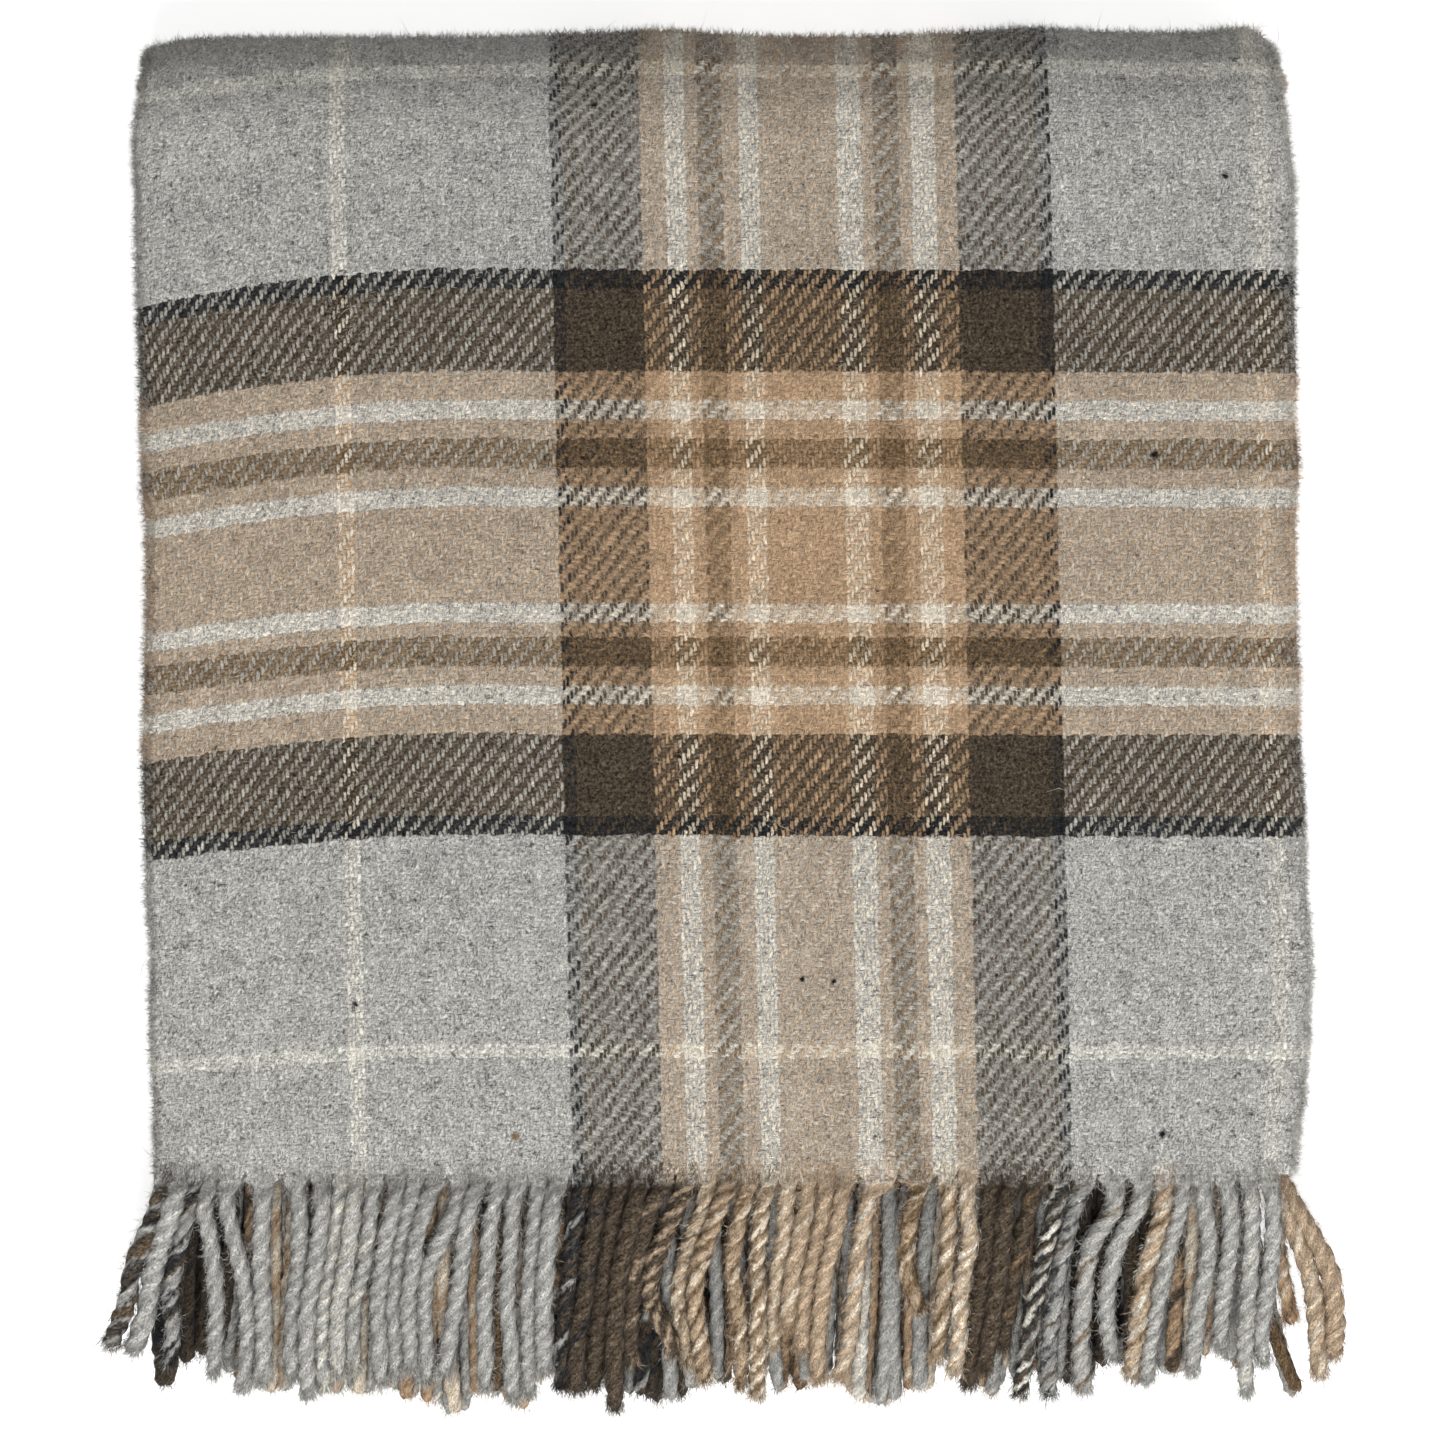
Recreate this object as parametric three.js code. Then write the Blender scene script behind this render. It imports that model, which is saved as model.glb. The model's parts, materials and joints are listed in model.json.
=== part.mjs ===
import * as THREE from 'three';

// Folded throw blanket: one woven woollen cloth, folded in thirds across its
// width, then in half and in half again along its length, lying flat with both
// fringed ends together at -Y. Millimetres, +Z up, underside at Z = 0.

// ---- driving dimensions ------------------------------------------------
const CLOTH_THICKNESS = 2.6;      // fulled woollen twill, pressed
const LAYER_PITCH = 3.4;          // one layer to the next in the stack
const FACE_LEFT_X = -218.1;       // outer faces of the folded bundle at Y = 0
const FACE_RIGHT_X = 217.7;
const FRINGE_LINE_Y = -169.5;     // where the weave stops and the cords start
const TOP_FOLD_Y = 261.4;         // outermost line of the thick rounded fold
const MID_FOLD_Y = -161.5;        // outermost line of the tucked-in half fold
const LAY_SKEW = 0.022;           // how far the warp leans as the throw lies
const LAYERS = 12;
const FOLD_SEGMENTS_TOP = 12;
const FOLD_SEGMENTS_MID = 8;
const FOLD_SEGMENTS_SIDE = 8;

const CORD_RADIUS = 3.1;
const CORD_ROOT_RADIUS = 1.1;
const CORD_SIDES = 8;
const CORD_START_Y = -169.85;
const CORD_REFERENCE_LENGTH = 92;
const CORD_STATION_Y = [-171.4, -193.9, -216.4];

const COMB_ROWS = 5;
const COMB_TEETH = 50;
const COMB_PITCH = 8.25;
const COMB_TOOTH_WIDTH = 6.9;
const COMB_HEADER = 4.0;
const COMB_ROOT_HALF = 1.1;       // half thickness at the cloth edge
const COMB_TIP_HALF = 1.9;        // half thickness at the tips
const COMB_TIP_LOW = 2.0;         // height of the lowest row's tips
const COMB_TIP_PITCH = 4.3;
const ROW_GAP = 0.35;

// Each top-row cord: X at the root, at two stations down its length and at the
// tip, then Y of the tip.
const FRONT_CORDS = [
  [-212.4, -217.7, -223.7, -230.8, -235.1],
  [-205.7, -210.9, -215.8, -222.9, -236.6],
  [-198.9, -203.8, -207.6, -208.3, -241.1],
  [-192.2, -192.6, -190.3, -191.8, -245.6],
  [-185.4, -183.6, -179.2, -180.9, -251.6],
  [-172.7, -173.4, -172.5, -173.1, -248.6],
  [-159.6, -160.0, -163.8, -164.0, -247.1],
  [-150.7, -153.2, -157.0, -157.3, -253.5],
  [-143.9, -146.5, -150.3, -150.5, -251.6],
  [-137.2, -139.7, -143.5, -143.8, -246.4],
  [-130.4, -133.0, -136.8, -137.0, -244.1],
  [-122.1, -126.2, -130.0, -130.3, -248.6],
  [-115.3, -119.5, -123.3, -123.5, -245.6],
  [-108.6, -112.7, -116.5, -116.8, -243.4],
  [-98.1, -105.6, -109.8, -110.0, -248.2],
  [-91.3, -96.9, -99.9, -103.3, -245.6],
  [-83.6, -87.6, -89.4, -89.4, -250.9],
  [-76.9, -79.3, -80.8, -81.0, -255.0],
  [-68.8, -71.4, -73.3, -74.2, -253.1],
  [-62.1, -64.7, -66.6, -67.5, -244.9],
  [-52.3, -56.1, -59.4, -60.7, -250.9],
  [-44.8, -49.4, -52.7, -54.0, -251.6],
  [-38.1, -42.6, -45.9, -47.2, -250.5],
  [-30.9, -35.9, -39.2, -40.5, -258.8],
  [-22.7, -29.1, -32.4, -33.7, -241.1],
  [-12.9, -22.3, -25.7, -18.8, -237.4],
  [-5.4, -11.8, -16.7, -12.1, -241.9],
  [2.4, -5.1, -9.9, -5.3, -247.9],
  [10.3, 4.7, 5.1, 4.3, -250.1],
  [17.4, 13.7, 11.9, 11.1, -253.9],
  [24.9, 22.4, 18.6, 17.8, -235.1],
  [32.3, 29.2, 25.4, 24.6, -227.6],
  [39.1, 35.9, 32.1, 31.3, -236.2],
  [45.8, 42.7, 38.9, 38.1, -247.9],
  [56.1, 51.9, 49.3, 44.8, -247.5],
  [75.9, 69.6, 70.7, 72.5, -221.2],
  [84.9, 84.9, 82.5, 79.2, -239.6],
  [91.7, 92.4, 89.3, 86.0, -244.9],
  [101.1, 99.2, 96.0, 92.7, -250.1],
  [108.6, 105.9, 102.8, 99.5, -243.4],
  [117.6, 112.7, 109.5, 106.2, -235.1],
  [127.3, 122.4, 117.6, 113.0, -253.1],
  [134.8, 129.2, 125.1, 122.8, -253.9],
  [147.9, 139.7, 135.9, 135.9, -252.0],
  [158.8, 149.4, 144.6, 146.3, -239.2],
  [167.1, 162.4, 157.5, 153.1, -246.0],
  [174.2, 169.1, 164.2, 159.8, -247.5],
  [181.3, 183.2, 179.8, 176.8, -245.2],
  [191.1, 191.4, 188.4, 187.3, -235.9],
  [200.8, 199.3, 197.8, 197.1, -252.8],
  [209.8, 207.6, 204.6, 203.8, -241.1],
];
// Two cords of the row below that splay past the right-hand edge.
const SPLAYED_CORDS = [
  [209.5, 218.8, 223.4, 224.8, -245.6],
  [216.6, 225.6, 230.6, 230.6, -238.2],
];

// Length of each cord in the rows below, per row, from a fixed sequence.
const COMB_TIP_Y = [-249.5, -253.0, -256.5, -259.0, -256.0];
const COMB_START_X = [-213.5, -211.0, -214.5, -212.0, -210.0];
const COMB_TIP_SPREAD = 5.5;

// ---- materials ---------------------------------------------------------
function clothMaterial(color) {
  return new THREE.MeshStandardMaterial({ color, roughness: 0.95, metalness: 0 });
}

const root = new THREE.Group();
root.name = 'folded_throw_blanket';

function addMesh(name, positions, triangles, color) {
  let volume = 0;
  for (const [a, b, c] of triangles) {
    const p = positions[a], q = positions[b], r = positions[c];
    volume += (p[0] * (q[1] * r[2] - q[2] * r[1])
      - p[1] * (q[0] * r[2] - q[2] * r[0])
      + p[2] * (q[0] * r[1] - q[1] * r[0])) / 6;
  }
  const faces = volume < 0 ? triangles.map(([a, b, c]) => [a, c, b]) : triangles;
  const geometry = new THREE.BufferGeometry();
  geometry.setAttribute('position', new THREE.Float32BufferAttribute(positions.flat(), 3));
  geometry.setIndex(faces.flat());
  geometry.computeVertexNormals();
  const mesh = new THREE.Mesh(geometry, clothMaterial(color));
  mesh.name = name;
  root.add(mesh);
}

// ---- the cloth ---------------------------------------------------------
const half = CLOTH_THICKNESS / 2;
const lowZ = half;
const topZ = lowZ + (LAYERS - 1) * LAYER_PITCH;

// Across the width: the left third lies under the middle third, the right third
// lies under that. d is the depth below the middle third.
function widthProfile() {
  const rl = LAYER_PITCH / 2;
  const rr = LAYER_PITCH;
  const xl = FACE_LEFT_X + half + rl;
  const xr = FACE_RIGHT_X - half - rr;
  const nodes = [];
  nodes.push([xr - 1.2, LAYER_PITCH, 0, 1]);
  for (let i = 0; i <= FOLD_SEGMENTS_SIDE; i++) {
    const a = Math.PI / 2 + Math.PI * i / FOLD_SEGMENTS_SIDE;
    nodes.push([xl + rl * Math.cos(a), rl + rl * Math.sin(a), Math.cos(a), Math.sin(a)]);
  }
  for (let i = 0; i <= FOLD_SEGMENTS_SIDE; i++) {
    const a = -Math.PI / 2 + Math.PI * i / FOLD_SEGMENTS_SIDE;
    nodes.push([xr + rr * Math.cos(a), rr + rr * Math.sin(a), Math.cos(a), Math.sin(a)]);
  }
  nodes.push([xl + 2.0, 2 * LAYER_PITCH, 0, 1]);
  return nodes;
}

// Along the length: the middle third's path from one fringed end to the other,
// as Y, Z and the direction in which depth is measured.
function lengthPath() {
  const outerR = (LAYERS - 1) * LAYER_PITCH / 2;
  const yc = TOP_FOLD_Y - outerR - half;
  const zc = lowZ + outerR;
  const midR = 2.5 * LAYER_PITCH;
  const yf = MID_FOLD_Y + midR + half;
  const zf = lowZ + midR;
  const innerR = LAYER_PITCH / 2;
  const nodes = [];
  nodes.push([FRINGE_LINE_Y, topZ, 0, -1]);
  for (let i = 0; i <= FOLD_SEGMENTS_TOP; i++) {
    const a = Math.PI / 2 - Math.PI * i / FOLD_SEGMENTS_TOP;
    nodes.push([yc + outerR * Math.cos(a), zc + outerR * Math.sin(a), -Math.cos(a), -Math.sin(a)]);
  }
  for (let i = 0; i <= FOLD_SEGMENTS_MID; i++) {
    const a = -Math.PI / 2 - Math.PI * i / FOLD_SEGMENTS_MID;
    nodes.push([yf + midR * Math.cos(a), zf + midR * Math.sin(a), -Math.cos(a), -Math.sin(a)]);
  }
  for (let i = 0; i <= FOLD_SEGMENTS_TOP; i++) {
    const a = -Math.PI / 2 + Math.PI * i / FOLD_SEGMENTS_TOP;
    nodes.push([yc + innerR * Math.cos(a), zc + innerR * Math.sin(a), Math.cos(a), Math.sin(a)]);
  }
  nodes.push([FRINGE_LINE_Y, topZ - 5 * LAYER_PITCH, 0, 1]);
  return nodes;
}

function buildCloth() {
  const across = widthProfile();
  const along = lengthPath();
  const nu = across.length, nv = along.length;
  const positions = [];
  const triangles = [];
  for (const side of [half, -half]) {
    for (const [y, z, ny, nz] of along) {
      for (const [x, d, nx, nd] of across) {
        const depth = d + side * nd;
        const py = y + depth * ny;
        positions.push([x + side * nx - LAY_SKEW * py, py, z + depth * nz]);
      }
    }
  }
  const at = (s, j, i) => s * nu * nv + j * nu + i;
  const quad = (a, b, c, d) => { triangles.push([a, b, c], [a, c, d]); };
  for (let j = 0; j + 1 < nv; j++) {
    for (let i = 0; i + 1 < nu; i++) {
      quad(at(0, j, i), at(0, j, i + 1), at(0, j + 1, i + 1), at(0, j + 1, i));
      quad(at(1, j, i), at(1, j + 1, i), at(1, j + 1, i + 1), at(1, j, i + 1));
    }
  }
  for (let i = 0; i + 1 < nu; i++) {
    quad(at(0, 0, i), at(1, 0, i), at(1, 0, i + 1), at(0, 0, i + 1));
    quad(at(0, nv - 1, i), at(0, nv - 1, i + 1), at(1, nv - 1, i + 1), at(1, nv - 1, i));
  }
  for (let j = 0; j + 1 < nv; j++) {
    quad(at(0, j, 0), at(0, j + 1, 0), at(1, j + 1, 0), at(1, j, 0));
    quad(at(0, j, nu - 1), at(1, j, nu - 1), at(1, j + 1, nu - 1), at(0, j + 1, nu - 1));
  }
  addMesh('woven_cloth', positions, triangles, 0x8f8b82);
}

// ---- fringe ------------------------------------------------------------
// s is the share of the reference length below the cloth edge.
const shareAt = (y) => (CORD_START_Y - y) / CORD_REFERENCE_LENGTH;
const rowRootZ = (row) => topZ - row * LAYER_PITCH;
const rowTipZ = (row) => COMB_TIP_LOW + (COMB_ROWS - row) * COMB_TIP_PITCH;
const rowZ = (row, s) => rowRootZ(row) + (rowTipZ(row) - rowRootZ(row)) * s;
const rowHalf = (s) => COMB_ROOT_HALF + (COMB_TIP_HALF - COMB_ROOT_HALF) * s;

function cordCurve([x0, x1, x2, xt, yt]) {
  const ys = [CORD_START_Y, CORD_STATION_Y[0] - 6.5, CORD_STATION_Y[1], CORD_STATION_Y[2], yt + 1.8, yt];
  const knotsY = [CORD_START_Y, CORD_STATION_Y[1], CORD_STATION_Y[2], yt];
  const knotsX = [x0, x1, x2, xt];
  return ys.map((y) => {
    let k = 0;
    while (k < 2 && y < knotsY[k + 1]) k++;
    const f = (y - knotsY[k]) / (knotsY[k + 1] - knotsY[k]);
    return [knotsX[k] + (knotsX[k + 1] - knotsX[k]) * f, y];
  });
}

function buildCord(name, control, height, radius, color) {
  const line = cordCurve(control);
  const positions = [];
  const triangles = [];
  const last = line.length - 1;
  line.forEach(([x, y], j) => {
    const s = shareAt(y);
    const r = radius(s) * (j === last ? 0.55 : 1);
    const z = height(s);
    for (let i = 0; i < CORD_SIDES; i++) {
      const a = 2 * Math.PI * (i + 0.5) / CORD_SIDES;
      positions.push([x + r * Math.cos(a), y, z + r * Math.sin(a)]);
    }
  });
  for (let j = 0; j < last; j++) {
    for (let i = 0; i < CORD_SIDES; i++) {
      const a = j * CORD_SIDES + i, b = j * CORD_SIDES + (i + 1) % CORD_SIDES;
      const c = b + CORD_SIDES, d = a + CORD_SIDES;
      triangles.push([a, b, c], [a, c, d]);
    }
  }
  for (let i = 1; i + 1 < CORD_SIDES; i++) {
    triangles.push([0, i + 1, i]);
    const o = last * CORD_SIDES;
    triangles.push([o, o + i, o + i + 1]);
  }
  addMesh(name, positions, triangles, color);
}

function buildFringe() {
  const frontRadius = (s) => CORD_ROOT_RADIUS + (CORD_RADIUS - CORD_ROOT_RADIUS) * Math.min(1, s / 0.085);
  const frontHeight = (s) => rowZ(1, s) + rowHalf(s) + ROW_GAP + frontRadius(s);
  FRONT_CORDS.forEach((control, i) => {
    buildCord(`fringe_cord_${String(i + 1).padStart(2, '0')}`, control, frontHeight, frontRadius, 0xa39c90);
  });
  const splayRadius = (s) => rowHalf(s) + (CORD_RADIUS - rowHalf(s)) * Math.min(1, Math.max(0, (s - 0.27) / 0.2));
  SPLAYED_CORDS.forEach((control, i) => {
    buildCord(`fringe_splayed_cord_${i + 1}`, control, (s) => rowZ(1, s), splayRadius, 0xb49472);
  });
  for (let row = 1; row <= COMB_ROWS; row++) {
    const outline = [];
    const startX = COMB_START_X[row - 1];
    const width = (COMB_TEETH - 1) * COMB_PITCH + COMB_TOOTH_WIDTH;
    outline.push([startX, CORD_START_Y]);
    for (let k = 0; k < COMB_TEETH; k++) {
      const x = startX + k * COMB_PITCH;
      const wave = Math.sin(k * 2.4 + row * 1.7) * 0.6 + Math.sin(k * 0.83 + row) * 0.4;
      const tip = Math.max(COMB_TIP_Y[row - 1] + COMB_TIP_SPREAD * wave, -261.7);
      if (k > 0) outline.push([x, CORD_START_Y - COMB_HEADER]);
      outline.push([x, tip + 1.2], [x + COMB_TOOTH_WIDTH / 2, tip], [x + COMB_TOOTH_WIDTH, tip + 1.2]);
      if (k < COMB_TEETH - 1) outline.push([x + COMB_TOOTH_WIDTH, CORD_START_Y - COMB_HEADER]);
    }
    outline.push([startX + width, CORD_START_Y]);
    const contour = outline.map(([x, y]) => new THREE.Vector2(x, y));
    const flat = THREE.ShapeUtils.triangulateShape(contour, []);
    const n = outline.length;
    const positions = [];
    for (const side of [1, -1]) {
      for (const [x, y] of outline) {
        const s = shareAt(y);
        positions.push([x, y, rowZ(row, s) + side * rowHalf(s)]);
      }
    }
    const triangles = [];
    for (const [a, b, c] of flat) {
      triangles.push([a, b, c], [n + a, n + c, n + b]);
    }
    const ccw = THREE.ShapeUtils.area(contour) > 0;
    for (let k = 0; k < n; k++) {
      const l = (k + 1) % n;
      if (ccw) triangles.push([k, n + k, n + l], [k, n + l, l]);
      else triangles.push([k, n + l, n + k], [k, l, n + l]);
    }
    // The flat triangles must turn the same way as the contour.
    const [a, b, c] = flat[0].map((i) => outline[i]);
    const turn = (b[0] - a[0]) * (c[1] - a[1]) - (b[1] - a[1]) * (c[0] - a[0]);
    if ((turn > 0) !== ccw) {
      for (let k = 0; k < flat.length * 2; k++) triangles[k].reverse();
    }
    addMesh(`fringe_row_${row + 1}`, positions, triangles, 0x7d766b);
  }
}

buildCloth();
buildFringe();

// Centre the footprint on the origin and rest the lowest point on Z = 0.
const box = new THREE.Box3().setFromObject(root);
const shift = [-(box.min.x + box.max.x) / 2, -(box.min.y + box.max.y) / 2, -box.min.z];
for (const mesh of root.children) mesh.geometry.translate(...shift);

export default root;
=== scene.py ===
"""Looks of the folded throw blanket: the woven, folded cloth and its twisted fringe."""
import json
import math

import bpy
import numpy as np
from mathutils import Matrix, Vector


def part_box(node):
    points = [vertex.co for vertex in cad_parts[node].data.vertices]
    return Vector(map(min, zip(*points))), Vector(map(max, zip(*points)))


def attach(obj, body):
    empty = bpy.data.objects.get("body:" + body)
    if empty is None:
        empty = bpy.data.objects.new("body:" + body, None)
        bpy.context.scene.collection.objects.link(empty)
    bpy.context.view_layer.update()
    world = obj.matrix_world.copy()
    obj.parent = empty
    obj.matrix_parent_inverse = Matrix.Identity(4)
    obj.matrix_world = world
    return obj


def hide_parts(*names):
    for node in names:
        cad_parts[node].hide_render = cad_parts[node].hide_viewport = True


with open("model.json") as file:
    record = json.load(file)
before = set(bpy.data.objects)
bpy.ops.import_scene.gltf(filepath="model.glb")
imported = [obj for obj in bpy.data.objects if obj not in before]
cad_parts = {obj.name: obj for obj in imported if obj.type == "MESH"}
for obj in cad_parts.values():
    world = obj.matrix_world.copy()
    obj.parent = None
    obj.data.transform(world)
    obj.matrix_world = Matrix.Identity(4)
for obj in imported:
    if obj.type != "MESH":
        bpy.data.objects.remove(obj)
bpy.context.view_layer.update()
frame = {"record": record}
rng = np.random.default_rng(20451)
TAU = 2 * math.pi

# ---------------------------------------------------------------- dimensions, mm, as in the frame
TH = 2.6            # cloth thickness
PITCH = 3.4         # layer to layer
LEFT, RIGHT = -218.1, 217.7
FRINGE_Y, TOP_Y, MID_Y = -169.5, 261.4, -161.5
SKEW = 0.022
LAYERS = 12
HALF = TH / 2
TOP_Z = HALF + (LAYERS - 1) * PITCH
ROOT_Y = -169.85
REF_LEN = 92.0
PX = 0.375          # mm of cloth for each unit of the sett's drawing

# Each top-row cord: X at six stations down its length and at the tip, then the tip's Y.
STATIONS = [0.0, 11.25, 22.5, 33.75, 45.0, 60.0]
FRONT = np.array([
    (-210.3, -213.2, -217.7, -221.8, -223.7, -228.2, -230.8, -235.1),
    (-204.6, -207.2, -210.9, -213.9, -215.8, -219.9, -222.9, -236.6),
    (-198.9, -201.2, -203.8, -206.4, -207.6, -206.8, -208.3, -241.1),
    (-193.2, -194.8, -192.6, -191.1, -190.3, -190.7, -191.8, -245.6),
    (-187.5, -186.2, -183.6, -180.9, -179.1, -178.7, -180.9, -251.6),
    (-172.7, -172.7, -173.4, -173.4, -172.7, -172.3, -173.1, -248.6),
    (-159.6, -158.8, -158.8, -159.2, -160.9, -162.0, -161.8, -247.1),
    (-150.2, -150.2, -151.4, -153.0, -155.2, -156.3, -155.9, -253.5),
    (-143.1, -144.4, -145.7, -147.3, -149.5, -150.6, -150.2, -251.6),
    (-137.4, -138.7, -140.0, -141.6, -143.8, -144.9, -144.5, -246.4),
    (-131.4, -131.8, -133.3, -134.8, -138.1, -139.2, -138.8, -244.1),
    (-121.7, -123.6, -126.3, -127.8, -129.4, -128.9, -128.6, -248.6),
    (-115.3, -117.9, -120.6, -122.1, -123.7, -123.2, -122.9, -245.6),
    (-108.9, -111.6, -114.9, -116.4, -118.0, -117.5, -117.2, -243.4),
    (-97.5, -100.3, -105.6, -110.7, -112.3, -111.8, -111.5, -248.2),
    (-91.8, -94.7, -96.9, -98.1, -99.9, -102.6, -104.8, -245.6),
    (-83.4, -86.1, -87.6, -88.3, -89.4, -89.1, -89.4, -250.9),
    (-77.1, -78.6, -79.3, -80.1, -80.8, -79.7, -78.9, -255.0),
    (-68.4, -69.8, -70.9, -72.0, -72.8, -72.8, -72.8, -253.1),
    (-62.4, -64.1, -65.2, -66.3, -67.1, -67.1, -67.1, -244.9),
    (-52.3, -54.2, -56.1, -57.2, -58.3, -60.0, -60.5, -250.9),
    (-44.8, -47.1, -48.9, -50.4, -51.6, -54.3, -54.8, -251.6),
    (-38.1, -40.3, -42.2, -44.0, -45.3, -47.1, -49.1, -250.5),
    (-30.9, -33.2, -35.9, -38.3, -39.6, -40.5, -40.5, -258.8),
    (-22.7, -27.2, -30.2, -32.6, -33.9, -34.8, -34.8, -241.1),
    (-12.9, -17.4, -22.3, -26.1, -26.8, -19.9, -17.8, -237.4),
    (-5.4, -7.3, -11.3, -14.8, -16.2, -14.2, -12.1, -241.9),
    (2.4, -1.6, -5.6, -9.2, -10.5, -8.5, -6.4, -247.9),
    (10.3, 7.3, 4.7, 3.6, 5.4, 6.9, 6.9, -250.1),
    (17.4, 14.8, 13.7, 12.9, 13.7, 13.2, 12.9, -253.9),
    (24.9, 23.8, 23.2, 21.0, 19.5, 18.9, 18.6, -235.1),
    (32.4, 31.3, 28.9, 26.7, 25.2, 24.6, 24.3, -227.6),
    (39.5, 38.4, 36.1, 33.1, 30.9, 30.3, 30.0, -236.2),
    (45.2, 44.1, 41.9, 38.9, 37.3, 36.0, 35.7, -247.9),
    (56.1, 54.2, 51.9, 50.4, 49.3, 47.8, 43.7, -247.5),
    (75.9, 71.1, 69.6, 69.2, 70.7, 72.9, 74.4, -221.2),
    (85.3, 85.3, 84.9, 84.2, 83.1, 81.6, 80.1, -239.6),
    (91.3, 92.1, 93.2, 90.9, 89.4, 89.0, 86.9, -244.9),
    (101.1, 100.3, 99.5, 98.4, 96.9, 94.7, 92.6, -250.1),
    (108.6, 106.3, 105.2, 104.1, 102.6, 100.4, 98.3, -243.4),
    (117.6, 115.3, 112.3, 110.1, 108.3, 106.3, 105.2, -235.1),
    (127.3, 125.1, 122.4, 119.8, 117.6, 115.3, 111.6, -253.1),
    (134.8, 132.2, 129.2, 126.9, 125.1, 123.2, 122.8, -253.9),
    (147.9, 147.2, 139.7, 136.7, 135.9, 134.8, 135.9, -252.0),
    (158.8, 156.2, 149.4, 146.1, 144.6, 145.7, 147.4, -239.2),
    (167.1, 165.6, 162.6, 159.2, 157.7, 155.4, 153.1, -246.0),
    (174.2, 172.3, 168.9, 166.3, 164.1, 161.1, 158.8, -247.5),
    (181.3, 182.1, 183.2, 182.1, 179.8, 177.9, 176.8, -245.2),
    (191.1, 192.2, 191.4, 189.9, 188.4, 188.1, 187.3, -235.9),
    (200.8, 200.4, 199.3, 198.6, 197.8, 196.7, 197.1, -252.8),
    (209.8, 208.7, 207.6, 206.4, 204.6, 202.7, 203.8, -241.1),
])
SPLAYED = np.array([
    (211.5, 213.6, 217.4, 221.0, 223.2, 224.2, 225.4, -246.4),
    (213.8, 218.0, 223.8, 228.6, 230.4, 230.6, 229.8, -238.9),
])
COMB_START = [-213.5, -211.0, -214.5, -212.0, -210.0]
COMB_TIP = [-249.5, -253.0, -256.5, -259.0, -256.0]

cloth_lo, cloth_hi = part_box("woven_cloth")
SHIFT = np.array([cloth_lo[0] * 1000 - (LEFT - SKEW * TOP_Y), cloth_lo[1] * 1000 - FRINGE_Y, 0.0])

# ---------------------------------------------------------------- colours, linear
GREY = (0.450, 0.443, 0.416)
CREAM = (0.80, 0.755, 0.66)
WHITE = (0.80, 0.70, 0.56)
BONE = (0.72, 0.66, 0.565)
CHALK = (0.72, 0.70, 0.63)
CAMEL = (0.49, 0.335, 0.208)
TAN = (0.180, 0.116, 0.061)
DARK = (0.070, 0.052, 0.035)
NAVY = (0.0145, 0.0155, 0.018)
# The sett, from the middle of the camel band out to the middle of the cream line, then mirrored.
WARP_HALF, WEFT_HALF = 461.0 * PX, 498.0 * PX
WARP_SETT = [(0, CAMEL), (39, WHITE), (59.5, CAMEL), (75.5, TAN), (97.5, CAMEL), (113, WHITE), (134, CAMEL), (156, DARK), (236.5, NAVY), (250, GREY), (450.5, CREAM)]
WEFT_SETT = [(0, CAMEL), (47.5, BONE), (67, CAMEL), (85.5, TAN), (113, CAMEL), (131.5, BONE), (151, CAMEL), (180, DARK), (262, NAVY), (284, GREY), (490, CHALK)]
WARP_PIVOT = (816 - 722.5) * PX + SKEW * (723 - 950) * PX   # X of the camel band's middle at Y = 0
WEFT_PIVOT = (723 - 554) * PX - FRINGE_Y                    # distance of the camel band from the fringe line
WARP_YARN, WEFT_YARN = 4.1 * PX, 4.84 * PX


# What each ply of a cord is spun from, where the cord isn't plainly the colour of the stripe above it.
PLIES = {
    1: (NAVY, DARK, NAVY, GREY, GREY, DARK, DARK, TAN, GREY), 3: (NAVY, NAVY, DARK, GREY, GREY, GREY, GREY, NAVY, GREY),
    9: (GREY, GREY, CREAM) * 3, 10: (GREY, CREAM, GREY) * 3, 11: (GREY,) * 8 + (CREAM,),
    21: (NAVY, DARK, NAVY, GREY, NAVY, DARK, NAVY, NAVY, DARK), 22: (DARK,) * 8 + (NAVY,), 23: (DARK,) * 9, 24: (DARK,) * 9,
    25: (DARK, DARK, CAMEL) + (DARK,) * 6, 26: (CAMEL, DARK, DARK) * 3, 27: (CAMEL, WHITE, TAN, CAMEL, WHITE, CAMEL) * 2,
    28: (CAMEL, TAN, CAMEL, CAMEL, TAN, WHITE, CAMEL, TAN, CAMEL), 29: (TAN, CAMEL, CAMEL, TAN, CAMEL, WHITE, TAN, CAMEL, CAMEL),
    30: (TAN, CAMEL, WHITE) * 3, 31: (CAMEL, CAMEL, WHITE) * 3, 32: (CAMEL,) * 5 + (WHITE,) + (CAMEL,) * 3, 33: (CAMEL,) * 9, 34: (CAMEL,) * 9,
    35: (CAMEL, CAMEL, WHITE, CAMEL, CAMEL, CAMEL, CAMEL, CREAM, CAMEL), 36: (TAN, TAN, WHITE, TAN, CAMEL, TAN, TAN, CAMEL, CAMEL),
    37: (CAMEL, TAN, CAMEL, WHITE, CAMEL, TAN, CAMEL, CAMEL, WHITE), 38: (CAMEL, WHITE, CAMEL, CAMEL, CREAM, CAMEL) * 2,
    39: (DARK,) * 9, 40: (DARK,) * 9, 41: (DARK,) * 6 + (TAN,) + (DARK,) * 2, 42: (NAVY, DARK, CREAM, NAVY, DARK, GREY, DARK, NAVY, CREAM),
    43: (NAVY, GREY, GREY, DARK, GREY, GREY, NAVY, GREY, GREY), 44: (GREY,) * 7 + (TAN, GREY), 45: (GREY,) * 9,
    46: (CAMEL, CAMEL, CREAM, CAMEL, TAN, CAMEL, CAMEL, CREAM, CAMEL), 50: (GREY,) * 7 + (CREAM, GREY), 51: (GREY,) * 9,
}


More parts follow.
